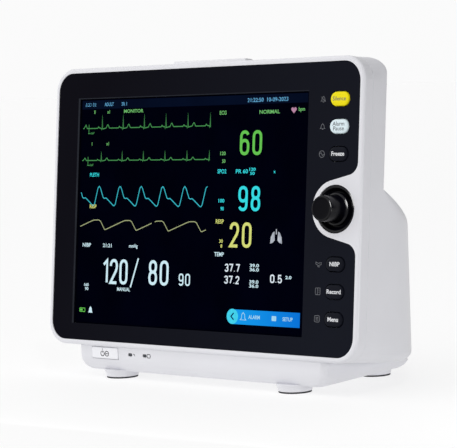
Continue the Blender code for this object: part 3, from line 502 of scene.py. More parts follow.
# ---------------------------------------------------------------- white front frame
def frame_ring(y, inset):
    width = FRAME_W - 2 * (tan(SIDE_TAPER) * max(y, 0) + inset)
    return at_depth(rounded_rect(width, FRAME_H - 2 * inset, CORNER_R - inset, steps=20), y)


def front_frame():
    """The white rim with its soft front edge, open behind the panel."""
    edge = 0.0026
    rings = [frame_ring(FRAME_FRONT, edge + 0.0003)]
    for step in range(9):
        a = pi / 2 * step / 8
        rings.append(frame_ring(FRAME_FRONT + edge * (1 - cos(a)), edge * (1 - sin(a))))
    for y, inset in ((0.0060, 0), (FRAME_BACK - 0.0001, 0), (FRAME_BACK, SEAM), (FRAME_BACK + GAP, SEAM)):
        rings.append(frame_ring(y, inset))
    window = rounded_rect(SCREEN_W + 0.0042, SCREEN_H + 0.0060, 0.001, SCREEN_X, SCREEN_Z, 1)
    back = rounded_rect(FRAME_W - 0.0102, FRAME_H - 0.0064, CORNER_R - 0.0035)
    cuts = [
        plate("seat", [panel_outline(GAP / 2)], -0.005, PANEL_SEAT),
        plate("hollow", [back], PANEL_SEAT + FLOOR_T, 0.02),
        plate("window", [window], 0.001, 0.01),
        cylinder("dish_hole", DISH_R + GAP, -0.01, 0.01, KNOB_X, steps=64),
    ]
    cuts += [plate("key_hole", [outline], 0.001, 0.01) for outline in key_outlines(KEY_GAP)]
    mesh = carve(loft("rim_shell", rings), [(cut, WORLD) for cut in cuts])
    piece("rim_shell", mesh, "case", FACE, "front_frame", "case_white")


def front_panel():
    """The glossy panel with a fine rolled edge along its outline, window and key holes."""
    window = rounded_rect(SCREEN_W + 0.0015, SCREEN_H + 0.0015, 0.0008, SCREEN_X, SCREEN_Z, 2)
    mesh = plate("panel_sheet", [panel_outline(), window] + key_outlines(KEY_GAP), 0, PANEL_T)
    bm = bmesh.new()
    bm.from_mesh(mesh)
    front = [e for e in bm.edges if len(e.link_faces) == 2 and e.calc_face_angle() > 1.2]
    front = [e for e in front if all(v.co.y < PANEL_T / 2 for v in e.verts)]
    bmesh.ops.bevel(bm, geom=front, offset=0.00025, segments=3, profile=0.5, affect="EDGES")
    piece("panel_sheet", mesh_of(bm, "panel_sheet"), "case", FACE, "front_panel", "panel_black")


# ---------------------------------------------------------------- rear shell
def rounding(past, radius):
    part = min(1.0, max(0.0, past / radius))
    return 1 - sqrt(1 - part * part)


def housing_ring(z, wall, front, steps=30):
    """The rear shell's plan at height z of the face frame."""
    half_h = FRAME_H / 2 - wall
    corner, edge = CORNER_R - wall, (TOP_EDGE_R if z > 0 else LOWER_EDGE_R) - wall
    front_inset = corner * rounding(abs(z) - (half_h - corner), corner)
    back_inset = edge * rounding(abs(z) - (half_h - edge), edge)
    drop = min(1.0, max(0.0, (SHOULDER_Z - wall - z) / SHOULDER_DROP))
    lower = sin(drop * pi / 2) ** 0.91
    hump = HUMP_DEPTH - tan(TILT) * z
    depth = SLAB_DEPTH + (hump - SLAB_DEPTH) * lower - wall - back_inset
    radius = SLAB_CORNER_R + (HUMP_CORNER_R - SLAB_CORNER_R) * lower - wall
    radius += HUMP_CORNER_EASE * min(z, 0)
    half_w = FRAME_W / 2 - wall / cos(SIDE_TAPER)
    centre_x = half_w - back_inset - tan(SIDE_TAPER) * depth
    centre_x -= radius * (1 - sin(SIDE_TAPER)) / cos(SIDE_TAPER)
    centre_y = depth - radius
    right = []
    start = (half_w - front_inset - tan(SIDE_TAPER) * front, front)
    for i in range(steps + 1):
        a = SIDE_TAPER + (pi / 2 - SIDE_TAPER) * i / steps
        right.append((centre_x + radius * cos(a), centre_y + radius * sin(a)))
    side = [
        tuple(s + (e - s) * t for s, e in zip(start, right[0])) for t in (0, 0.06, 0.5, 0.9)
    ]
    right = side + right + [(right[-1][0] * t, right[-1][1]) for t in (0.92, 0.5)]
    left = [(-x, y) for x, y in reversed(right)]
    return [(x, y, z) for x, y in right + left]


def housing_levels(wall):
    half_h, corner = FRAME_H / 2 - wall, CORNER_R - wall
    ends = []
    for edge in (LOWER_EDGE_R - wall, TOP_EDGE_R - wall):
        rows = [half_h - corner + corner * sin(radians(a)) for a in (0, 6, 12, 18, 23)]
        turns = (3, 12, 21, 30, 39, 48, 57, 66, 75, 83, 90)
        ends.append(rows + [half_h - edge + edge * sin(radians(a)) for a in turns])
    top = SHOULDER_Z - wall
    shoulder = [top - SHOULDER_DROP * (1 - t / 20) for t in range(21)]
    plain = [-0.085, -0.070, -0.055, -0.040, -0.025, -0.0135]
    upper = [SHOULDER_Z + 0.002, 0.030, 0.050, 0.070, 0.088]
    return [-z for z in reversed(ends[0])] + plain + shoulder + upper + ends[1]


def slot_rows(name, x, rows=7, pitch=0.0050, width=0.0330, height=0.0026):
    """Rounded vent slots through the back wall."""
    bm = bmesh.new()
    for row in range(rows):
        outline = stadium(width, height, x, FAN_Z + (row - (rows - 1) / 2) * pitch, 6)
        add_loft(bm, [at_depth(outline, BACK_Y + d) for d in (-0.01, 0.01)])
    return mesh_of(bm, name)


def rear_housing():
    """The hollow rear shell with its recesses, holes and vents."""
    front = FRAME_BACK + GAP
    shell = loft("rear_shell", [housing_ring(z, 0, front) for z in housing_levels(0)])
    hollow = loft("hollow", [housing_ring(z, WALL, front - 0.004) for z in housing_levels(WALL)])
    grip = (0, (GRIP_Z0 + GRIP_Z1) / 2, GRIP_W, GRIP_Z1 - GRIP_Z0)
    grip += (SLAB_DEPTH - GRIP_DEPTH, SLAB_DEPTH + 0.02)
    ports = (0, PORT_Z, PORT_W, PORT_H, BACK_Y - PORT_DEPTH, BACK_Y + 0.02)
    pockets = (
        ("grip", grip, FACE, 0.005),
        ("sockets", (0, 0, SIDE_W, SIDE_H, -0.03, 0), SIDE, 0.003),
        ("ports", ports, BODY, 0.003),
    )
    cuts, kept = [], []
    for name, (x, z, width, height, y0, y1), place, bevel in pockets:
        cuts.append((block(name, x, z, width, height, y0, y1, bevel), place))
        around = (width + 2 * WALL, height + 2 * WALL, y0 - WALL, y1 + WALL)
        kept.append((block(name + "_kept", x, z, *around), place))
    shell.transform(FACE)
    hollow.transform(FACE)
    cuts.append((carve(hollow, kept), WORLD))
    floor = box_mesh("floor_opening", (-0.105, 0.040, -0.130), (0.105, 0.112, -0.100))
    cuts.append((floor, FACE))
    cuts += [(slot_rows("fan_slots", FAN_X), BODY), (slot_rows("speaker_slots", -FAN_X), BODY)]
    lamp = rounded_rect(LAMP_W + 2 * GAP, LAMP_D + 2 * GAP, 0.002, steps=6)
    on_top = FACE @ Matrix.Translation((LAMP_X, LAMP_Y, FRAME_H / 2)) @ Matrix.Rotation(pi / 2, 4, "X")
    cuts.append((plate("lamp_hole", [lamp], -0.006, 0.006), on_top))
    for name, (x, z, radius) in SOCKETS.items():
        cuts.append((cylinder(name + "_hole", radius + GAP, -0.01, 0.01, x, z), SIDE))
    behind = (BACK_Y - 0.03, BACK_Y)
    inlet = (INLET_X, PORT_Z, INLET_W + 2 * GAP, INLET_H + 2 * GAP)
    cuts.append((block("inlet_hole", *inlet, *behind), BODY))
    cuts.append((block("network_hole", NETWORK_X, PORT_Z, NETWORK_W, NETWORK_H, *behind), BODY))
    stud = cylinder("stud_hole", 0.0028, BACK_Y - 0.025, BACK_Y + 0.005, STUD_X, PORT_Z)
    cuts.append((stud, BODY))
    for x, z in SCREW_SPOTS:
        hole = cylinder("screw_hole", SCREW_R, SLAB_DEPTH - 0.01, SLAB_DEPTH + 0.01, x, z)
        cuts.append((hole, FACE))
    piece("rear_shell", carve(shell, cuts), "case", WORLD, "rear_housing", "case_white")


# ---------------------------------------------------------------- base
def base_ring(z, wall, side_inset, end_inset, rear_r):
    taper = tan(BASE_TAPER)
    front, back = BASE_FRONT + wall + end_inset, BASE_BACK - wall - end_inset * BASE_REAR_EASE
    points = []
    for y, radius, start in ((front, BASE_FRONT_R - wall, -90), (back, rear_r - wall, 0)):
        centre_y = y + radius if y == front else y - radius
        inset = side_inset if y == front else side_inset * BASE_REAR_EASE
        half_w = BASE_HALF_W - wall - inset - taper * (centre_y - BASE_FRONT)
        points += arc(half_w - radius, centre_y, radius, start, start + 90, 18)
    points += [(-x, y) for x, y in reversed(points)]
    return [(x, y, z) for x, y in points]


def base_mesh(name, wall, top, rear_r=BASE_REAR_R):
    bottom = BASE_BOTTOM + wall
    rise, side, end = 0.0118 - wall, 0.0104 - wall, 0.0055 - wall
    rings = []
    for step in range(13):
        a = pi / 2 * (1 - step / 12)
        z, turn = bottom + rise * (1 - sin(a)), 1 - cos(a)
        rings.append(base_ring(z, wall, side * turn, end * turn, rear_r))
    for z in (0.0240, top):
        rings.append(base_ring(z, wall, 0, 0, rear_r))
    return loft(name, rings)


def upright(x, y):
    """A frame at (x, y) on the ground whose -Y points up."""
    return BODY @ Matrix.Translation((x, y, 0)) @ Matrix.Rotation(-pi / 2, 4, "X")


def foot_boss(x, y):
    """A round boss with a soft lower edge, flaring into the base's underside."""
    profile = [(FOOT_R - 0.0004, PAD_T), (FOOT_R - 0.0001, PAD_T + 0.0002)]
    profile += [(FOOT_R, PAD_T + 0.0005), (FOOT_R + 0.0003, 0.0035)]
    profile += [(FOOT_R + 0.0008, BASE_BOTTOM - 0.0009), (FOOT_R + FOOT_FLARE, BASE_BOTTOM + 0.0009)]
    profile += [(FOOT_R + FOOT_FLARE - 0.0003, BASE_BOTTOM + 0.0012)]
    return lathe("boss", profile), upright(x, y)


def base_tray():
    """The hollow base with its foot bosses, and holes for the chin's controls and the door."""
    outer = base_mesh("base_shell", 0, 0.06)
    outer.transform(BODY)
    lid = -FRAME_H / 2 - 0.00006
    cuts = [
        (base_mesh("hollow", WALL, 0.07, BASE_HOLLOW_REAR_R), BODY),
        (box_mesh("case_bottom", (-0.2, -0.03, lid), (0.2, 0.2, lid + 0.1)), FACE),
    ]
    holes = [(POWER_X, POWER_W, POWER_H)] + [(x, LED_W, LED_H) for x in LED_XS]
    for x, width, height in holes:
        outline = rounded_rect(width + 2 * GAP, height + 2 * GAP, 0.0010, x, POWER_Z, 6)
        cuts.append((plate("front_hole", [outline], BASE_FRONT - 0.01, BASE_FRONT + 0.008), BODY))
    half_w, half_d = DOOR_W / 2 + GAP, DOOR_D / 2 + GAP
    low, high = (DOOR_X - half_w, DOOR_Y - half_d, 0), (DOOR_X + half_w, DOOR_Y + half_d, 0.02)
    cuts.append((box_mesh("door_opening", low, high), BODY))
    cuts += [(cylinder("screw_hole", SCREW_R, -0.012, 0), upright(x, y)) for x, y in BASE_SCREWS]
    mesh = carve(outer, cuts, [foot_boss(x, y) for x, y in FEET])
    piece("base_shell", mesh, "case", WORLD, "base_tray", "case_white")


# ---------------------------------------------------------------- keys and knob
def keys():
    """Soft crowned caps over the CAD keys' outlines."""
    slots = {"key_silence": "key_yellow", "key_alarm_pause": "key_pale"}
    flange_y, top = PANEL_SEAT + FLOOR_T + GAP, 0.0003 - KEY_PROUD
    profile = [(0.0030, top - 0.00030), (0.0018, top - 0.00020), (0.0010, top)]
    profile += [(0.0005, top + 0.00025), (0.00015, 0.0001), (0, 0.0006), (0, flange_y)]
    profile += [(-0.0012, flange_y), (-0.0012, flange_y + 0.0010), (0.0035, flange_y + 0.0010)]
    profile += [(0.0035, flange_y + 0.0024)]
    for name, step in KEY_STEPS.items():
        rings = [
            at_depth(stadium(KEY_W - 2 * i, KEY_H - 2 * i, KEY_X, step * KEY_PITCH), y)
            for i, y in profile
        ]
        cap = loft(name + "_cap", rings)
        piece(name + "_cap", cap, name, FACE, name, slots.get(name, "key_black"))


def knob():
    """Gloss knob with a rolled face edge and a skirt, in its ringed dish."""
    front, base = 0.0170, -0.0016
    cap = [(0.0001, front - 0.00035), (0.0060, front - 0.00035), (0.0078, front - 0.0002)]
    cap += [(0.0085, front), (0.0090, front - 0.0001), (0.0094, front - 0.0005)]
    cap += [(0.0097, front - 0.0012), (0.0104, 0.0034), (0.0106, 0.0022), (0.0110, 0.0012)]
    cap += [(0.0120, 0.0006), (0.0124, 0.0001), (0.0125, -0.0006), (0.0123, base)]
    cap += [(0.0033, base), (0.0033, 0.0123), (0.0001, 0.0123)]
    at_knob = FACE @ Matrix.Translation((KNOB_X, 0, 0))
    piece("knob_grip", lathe("knob_grip", cap, 96), "knob", at_knob, "knob_cap", "knob_black")
    dish = [(0.0134, -0.0026), (0.0138, -0.0021), (0.0143, -0.0019), (0.0150, -0.0012)]
    dish += [(0.0158, 0.0001), (0.0163, 0.0006), (0.0170, 0.0008), (0.0176, 0.0007)]
    dish += [(DISH_R, 0.0003), (DISH_R, -0.0043), (0.0045, -0.0043), (0.0045, -0.0026)]
    bezel = lathe("knob_bezel", dish, 96, caps=(), closed=True)
    piece("knob_bezel", bezel, "case", at_knob, "knob_dish", "knob_black", "dish_black")


# ---------------------------------------------------------------- flat graphics
MM = 0.001


def ribbon(bm, points, width, closed=False):
    """A flat line of even width through points (x, z) in millimetres, on the plane Y = 0."""
    points = [Vector(point) for point in points]
    sides = []
    for i, point in enumerate(points):
        before = points[i - 1] if i or closed else point
        after = points[(i + 1) % len(points)] if i < len(points) - 1 or closed else point
        first, second = point - before, after - point
        first = (first if first.length else second).normalized()
        second = (second if second.length else first).normalized()
        square = Vector((-first.y, first.x))
        normal = square + Vector((-second.y, second.x))
        normal = (square if normal.length < 1e-6 else normal).normalized()
        offset = normal * (width / 2 / max(0.5, normal.dot(square)))
        sides.append((point + offset, point - offset))
    verts = [[bm.verts.new((v.x * MM, 0, v.y * MM)) for v in pair] for pair in sides]
    for (a, b), (c, d) in zip(verts, verts[1:] + (verts[:1] if closed else [])):
        bm.faces.new((a, b, d, c))


def filled(bm, outline):
    """A flat filled outline in millimetres."""
    bm.faces.new([bm.verts.new((x * MM, 0, z * MM)) for x, z in outline])


def oblong(x0, z0, x1, z1):
    return [(x0, z0), (x1, z0), (x1, z1), (x0, z1)]


def bend(cx, cz, rx, rz, start, end, steps=10):
    """An arc that is drawn out towards the corners of its box."""
    turns = [radians(start + (end - start) * i / steps) for i in range(steps + 1)]
    pairs = [(cos(a), sin(a)) for a in turns]
    drawn = [[copysign(abs(part) ** 0.86, part) for part in pair] for pair in pairs]
    return [(cx + rx * x, cz + rz * z) for x, z in drawn]


UPPER, LOWER = bend(0.5, 1.5, 0.5, 0.5, 0, 180), bend(0.5, 0.5, 0.5, 0.5, 180, 360)
# the strokes of narrow numerals, each in a box 0..1 wide and 0..2 high
STROKES = {
    "0": [UPPER + LOWER],
    "1": [[(0, 1.60), (1, 2.0), (1, 0)]],
    "2": [bend(0.5, 1.5, 0.5, 0.5, 180, -20) + [(0.86, 1.05), (0, 0), (1, 0)]],
    "3": [
        bend(0.5, 1.5, 0.48, 0.5, 170, -75) + [(0.45, 1.06)],
        [(0.45, 1.06)] + bend(0.5, 0.53, 0.5, 0.53, 80, -170),
    ],
    "5": [[(0.92, 2.0), (0.12, 2.0), (0.08, 1.02)] + bend(0.5, 0.62, 0.5, 0.62, 120, -165)],
    "6": [bend(0.5, 1.5, 0.5, 0.5, 25, 180) + LOWER + bend(0.5, 0.72, 0.5, 0.5, 0, 170)],
    "7": [[(0, 1.82), (0, 2.0), (1, 2.0), (0.36, 0)]],
    "8": [
        bend(0.5, 1.53, 0.45, 0.47, -90, 270, 20)[:-1],
        bend(0.5, 0.53, 0.5, 0.53, 90, 450, 20)[:-1],
    ],
    "9": [bend(0.5, 0.5, 0.5, 0.5, 205, 360) + UPPER + bend(0.5, 1.28, 0.5, 0.5, 180, 350)],
    ".": [[(0.5, 0), (0.5, 0.16)]],
}
CLOSED_NUMERALS = "08"
NARROW = {".": 0.35, "1": 0.66}


def number(bm, text, x, z, height, width, stroke, gap):
    """Numerals from x, with their feet at z. width is one numeral's, all in millimetres."""
    for char in text:
        wide = width * NARROW.get(char, 1)
        for points in STROKES[char]:
            spots = [
                (x + stroke / 2 + px * (wide - stroke), z + stroke / 2 + pz / 2 * (height - stroke))
                for px, pz in points
            ]
            ribbon(bm, spots, stroke, char in CLOSED_NUMERALS)
        x += wide + gap


def words(bm, text, x, z, height, squeeze=0.9, bold=0.09):
    """Plain generic lettering, centred on (x, z) in millimetres, in Blender's own typeface."""
    curve = bpy.data.curves.new("words", "FONT")
    curve.body = text
    curve.align_x, curve.align_y = "CENTER", "CENTER"
    curve.size = height * MM * 1.35
    curve.offset = bold * MM
    curve.resolution_u = 3
    holder = bpy.data.objects.new("words", curve)
    bpy.context.scene.collection.objects.link(holder)
    graph = bpy.context.evaluated_depsgraph_get()
    mesh = bpy.data.meshes.new_from_object(holder.evaluated_get(graph))
    bpy.data.objects.remove(holder)
    shape = Matrix.Translation((x * MM, 0, z * MM)) @ Matrix.Rotation(pi / 2, 4, "X")
    mesh.transform(shape @ Matrix.Diagonal((squeeze, 1, 1, 1)))
    bm.from_mesh(mesh)


def graphic(name, draw, finish, y, body="case", place=FACE):
    """A thin printed or lit layer at depth y, drawn into one mesh."""
    bm = bmesh.new()
    draw(bm)
    for face in bm.faces:
        face.normal_update()
        if face.normal.y > 0:
            face.normal_flip()
    mesh = bpy.data.meshes.new(name)
    bm.to_mesh(mesh)
    bm.free()
    placed(name, mesh, finish, body, place @ Matrix.Translation((0, y, 0)))


# ---------------------------------------------------------------- what the screen shows
LIT_Y = GLASS_Y - 0.00006
TRACE_X0, TRACE_X1, FIRST_BEAT, BEAT, BEATS = -133.0, 11.0, -110.7, 24.2, 6
GREEN = srgb(104, 200, 84)
GREEN_TEXT = srgb(112, 190, 108)
GREEN_SOFT = srgb(74, 150, 84)
CYAN = srgb(56, 224, 232)
CYAN_SOFT = srgb(60, 190, 206)
YELLOW = srgb(218, 224, 124)
YELLOW_SOFT = srgb(168, 176, 130)
PALE = srgb(212, 242, 252)
WHITE = srgb(226, 238, 248)
BLUE_TEXT = srgb(104, 178, 224)


def heart_trace(base, spike):
    """Points of an ECG trace: a small wave, a spike and a rounded wave in each beat."""
    points = [(TRACE_X0, base), (TRACE_X0 + 1.0, base), (TRACE_X0 + 3.2, base + spike * 0.28)]
    points += [(TRACE_X0 + 4.8, base)]
    for beat in range(BEATS):
        x = FIRST_BEAT + BEAT * beat
        points += [(x - 5.2, base), (x - 4.2, base + spike * 0.12), (x - 3.2, base + spike * 0.03)]
        points += [(x - 1.0, base), (x - 0.5, base - spike * 0.12), (x, base + spike)]
        if beat < BEATS - 1:
            points += [(x + 0.6, base - spike * 0.06), (x + 4.0, base)]
            for step in range(9):
                rise = sin(pi * step / 8) ** 2
                points.append((x + 4.4 + step * 0.55, base + spike * 0.27 * rise))
    return points + [(FIRST_BEAT + BEAT * (BEATS - 1) + 0.3, base - spike * 0.1)]


def wave(shape, x0, x1, step, start, period, base, height):
    """Points of a repeating wave. shape is one beat, as (part of the beat, part of the height)."""
    points = []
    x = x0
    while x < x1:
        phase = ((x - start) / period) % 1.0
        for (a, low), (b, high) in zip(shape, shape[1:]):
            if a <= phase <= b:
                part = low + (high - low) * (phase - a) / (b - a)
                points.append((x, base + height * part))
                break
        x += step
    return points


def pulse_trace(base, height):
    """A steep rise, a fall and a shoulder in each beat."""
    shape = ((0, 0), (0.05, 0.08), (0.20, 0.92), (0.26, 1), (0.32, 0.90), (0.46, 0.42))
    shape += ((0.52, 0.38), (0.60, 0.40), (0.70, 0.30), (0.95, 0.02), (1, 0))
    return wave(shape, TRACE_X0, TRACE_X1 - 1.5, 0.4, FIRST_BEAT - 7.4, BEAT, base, height)


def breath_trace(base, height, x0, x1):
    """A slow rise, a flat top and a quick fall in each breath."""
    shape = ((0, 0.04), (0.50, 0.84), (0.60, 0.98), (0.76, 1), (0.82, 0.88), (0.96, 0.02), (1, 0.04))
    return wave(shape, x0, x1, 0.5, -102.7, 36.0, base, height)


def layer(name, finish, up=0, letters=(), figures=(), lines=(), shapes=()):
    """One lit layer, from what words, number, ribbon and filled are told. up is towards us."""
    def draw(bm):
        for row in lines:
            ribbon(bm, *row)
        for outline in shapes:
            filled(bm, outline)
        for row in figures:
            number(bm, *row)
        for row in letters:
            words(bm, *row)

    graphic(name, draw, finish, LIT_Y - up)


def screen():
    """Traces, figures, labels and the button bar, each colour one or more thin lit layers."""
    green, cyan = glow("lit_green", GREEN), glow("lit_cyan", CYAN)
    yellow, pale = glow("lit_yellow", YELLOW), glow("lit_pale", PALE)
    navy = glow("lit_header", srgb(6, 15, 36), srgb(5, 11, 29), 30)
    layer("screen_header", navy, shapes=[oblong(-134.6, 80.6, 110.0, 87.8)])
    layer("screen_header_text", glow("lit_blue_text", BLUE_TEXT), letters=(
        ("BED 02", -124.8, 84.1, 3.0, 1.02),
        ("ADULT", -103.2, 84.1, 3.0, 0.8),
        ("SR 1", -85.5, 84.0, 3.0),
        ("21:22:50  10-09-2023", 69.6, 83.6, 3.2, 1.12),
    ))
    x = -126.2
    lines, letters = [(heart_trace(64.6, 10.6), 0.7), (heart_trace(38.0, 7.2), 0.7)], []
    for z, drop in ((65.0, 4.6), (38.4, 4.4)):
        lines.append(([(x, z + drop * 0.6), (x, z - drop)], 0.6))
        lines.append(([(x - 0.8, z - drop), (x + 2.0, z - drop)], 0.6))
        letters.append(("1mV", x + 4.2, z - drop + 0.2, 1.9))
    soft_green = glow("lit_green_soft", GREEN_SOFT)
    layer("screen_ecg_traces", soft_green, letters=letters, lines=lines)
    layer("screen_ecg_text", glow("lit_green_text", GREEN_TEXT), letters=(
        ("II", -119.8, 78.0, 2.9),
        ("x1", -103.3, 77.9, 2.9),
        ("MONITOR", -75.0, 78.0, 2.9, 1.22),
        ("I", -122.0, 51.6, 2.9),
        ("x1", -103.3, 51.6, 2.9),
        ("ECG", 23.6, 74.4, 3.2),
        ("NORMAL", 71.6, 74.2, 3.0, 1.25),
        ("bpm", 104.0, 75.6, 3.0),
        ("120", 24.4, 42.5, 2.9, 1.1),
        ("50", 25.8, 36.4, 2.9),
    ))
    layer("screen_ecg_rate", green, figures=[("60", 42.2, 41.0, 19.4, 9.8, 2.5, 3.2)])
    soft_cyan = glow("lit_cyan_soft", CYAN_SOFT)
    layer("screen_pulse_trace", soft_cyan, lines=[(pulse_trace(0.6, 16.0), 0.8)])
    layer("screen_pulse_text", cyan, letters=(
        ("PLETH", -118.0, 26.0, 3.2),
        ("SPO2", 24.2, 28.4, 3.4),
        ("PR 60", 45.0, 28.4, 3.2, 1.25),
        ("120", 55.6, 30.0, 2.4, 1.5),
        ("50", 56.0, 26.8, 2.4, 1.5),
        ("x", 78.6, 28.2, 2.8),
        ("100", 24.2, 5.4, 2.9, 1.2),
        ("90", 25.6, -0.8, 2.9),
    ))
    layer("screen_oxygen_figure", cyan, figures=[("98", 42.2, -2.4, 19.6, 9.8, 2.5, 3.2)])
    breaths = [(breath_trace(-19.2, 8.0, x0, x1), 0.7) for x0, x1 in ((-133.0, -50.0), (-47.0, 9.5))]
    layer("screen_breath_trace", glow("lit_yellow_soft", YELLOW_SOFT), lines=breaths)
    layer("screen_breath_text", yellow, letters=(
        ("RESP", -118.6, -0.2, 3.2),
        ("RESP", 23.4, -10.9, 3.4),
        ("30", 25.4, -26.2, 2.7, 1.1),
        ("8", 26.0, -30.0, 2.7, 1.1),
    ))
    layer("screen_breath_rate", yellow, figures=[("20", 34.2, -30.8, 19.8, 9.8, 2.5, 3.2)])
    slash = ([(-72.4, -65.6), (-64.2, -41.8)], 1.5)
    layer("screen_pressure_figures", pale, lines=[slash], figures=(
        ("120", -104.8, -63.6, 20.6, 9.4, 2.4, 1.9),
        ("80", -52.4, -63.0, 20.2, 9.8, 2.4, 2.8),
        ("90", -18.8, -62.4, 9.8, 5.4, 1.3, 1.7),
    ))
    letters = [
        ("NIBP", -124.6, -32.2, 3.2, 1.1),
        ("21:21", -100.0, -32.2, 3.1, 1.2),
        ("mmHg", -70.5, -32.0, 3.0),
        ("TEMP", 23.8, -36.6, 3.4),
        ("160", -123.8, -65.2, 2.5, 1.2),
        ("90", -123.0, -68.4, 2.5, 1.2),
        ("MANUAL", -80.2, -67.6, 3.0),
        ("2.0", 95.6, -52.6, 2.5, 1.5),
    ]
    for z in (-44.4, -57.0):
        letters += [("39.0", 60.8, z, 2.6, 1.6), ("36.0", 60.8, z - 3.2, 2.6, 1.6)]
    layer("screen_pressure_text", pale, letters=letters)
    layer("screen_white_figures", glow("lit_white", WHITE), figures=(
        ("37.7", 30.2, -49.9, 6.4, 4.0, 1.1, 0.8),
        ("37.2", 30.0, -59.2, 6.4, 4.0, 1.1, 0.8),
        ("0.5", 77.3, -57.1, 6.5, 4.4, 1.1, 0.8),
    ))
    heart = []
    for a in [radians(a) for a in range(0, 360, 12)]:
        up = 13 * cos(a) - 5 * cos(2 * a) - 2 * cos(3 * a) - cos(4 * a)
        heart.append((96.2 + 2.7 * sin(a) ** 3, 75.2 + 2.7 * up / 16))
    layer("screen_heart", glow("lit_pink", srgb(188, 136, 166)), shapes=[heart])
    lobe = ((1.8, -17.6), (3.6, -18.6), (5.4, -22.0), (6.0, -27.0), (3.2, -26.2), (1.4, -24.4))
    lobes = [[(82.2 + side * px, z) for px, z in lobe] for side in (-1, 1)]
    grey = glow("lit_grey", srgb(190, 196, 206), srgb(140, 146, 158), 200)
    windpipe = ([(82.2, -15.8), (82.2, -19.8)], 1.0)
    layer("screen_lungs", grey, lines=[windpipe], shapes=lobes)
    bell = [(-120.4, -88.0), (-119.6, -86.6), (-119.2, -84.2), (-117.8, -82.8)]
    bell += [(-116.4, -84.2), (-116.0, -86.6), (-115.2, -88.0)]
    layer("screen_bell", pale, shapes=[bell])
    cell = (rounded_rect(6.2, 2.9, 0.4, -127.4, -86.0, 3), 0.6, True)
    charge = [oblong(-130.0, -86.8, -127.0, -85.2), oblong(-124.5, -86.6, -123.9, -85.4)]
    layer("screen_battery", green, lines=[cell], shapes=charge)

    left, right, strips = 39.8, 108.2, 24
    edges = [left + (right - left) * i / strips for i in range(strips + 1)]
    bar = [oblong(a, -90.2, b, -78.8) for a, b in zip(edges, edges[1:])]
    layer("screen_bar", button_blue(), shapes=bar)
    disc = circle(5.9, left, -84.3, 40)
    layer("screen_bar_round", glow("lit_bar_round", srgb(70, 216, 242)), 0.00004, shapes=[disc])
    arrow = ([(41.2, -81.6), (38.4, -84.3), (41.2, -87.0)], 1.1)
    layer("screen_bar_mark", glow("lit_bar_mark", srgb(4, 40, 90)), 0.00008, lines=[arrow])
    bell = [(48.0, -86.6), (49.2, -85.4), (49.5, -82.4), (51.0, -80.9), (52.5, -82.4)]
    bell += [(52.8, -85.4), (54.0, -86.6)]
    texts = (("ALARM", 62.4, -84.2, 3.0), ("SETUP", 96.0, -84.4, 3.0))
    window = rounded_rect(4.6, 3.8, 0.6, 82.4, -84.2, 4)
    blue = glow("lit_bar_text", srgb(170, 220, 246))
    layer("screen_bar_text", blue, 0.00004, texts, lines=[(bell, 0.6, True)], shapes=[window])


def painted_window_highlight():
    """A painted highlight along the window's top and left edges, standing for light caught on the window's bevel,
    widest down its left side.
    """
    x, half_w = SCREEN_X / MM, SCREEN_W / 2 / MM + 0.75
    z, half_h = SCREEN_Z / MM, SCREEN_H / 2 / MM + 0.75
    left, right, low, high = x - half_w, x + half_w, z - half_h, z + half_h

    def line(bm):
        filled(bm, [(left - 2.0, low - 0.4), (left, low), (left, high), (left - 2.0, high + 0.8)])
        filled(bm, [(left, high), (right, high), (right + 0.6, high + 0.8), (left - 2.0, high + 0.8)])

    graphic("window_line", line, "window_line", -0.00003)


def button_blue():
    """The button bar's blue, which deepens to the right."""
    made, tree, shader = emitter("lit_bar")
    run = spread(tree, across(tree), 0, 1, 0.036, 0.110)
    tone = two_tone(tree, run, srgb(22, 158, 238), srgb(10, 112, 214))
    feed(tree, shader, {"Emission Color": tone})
    return made


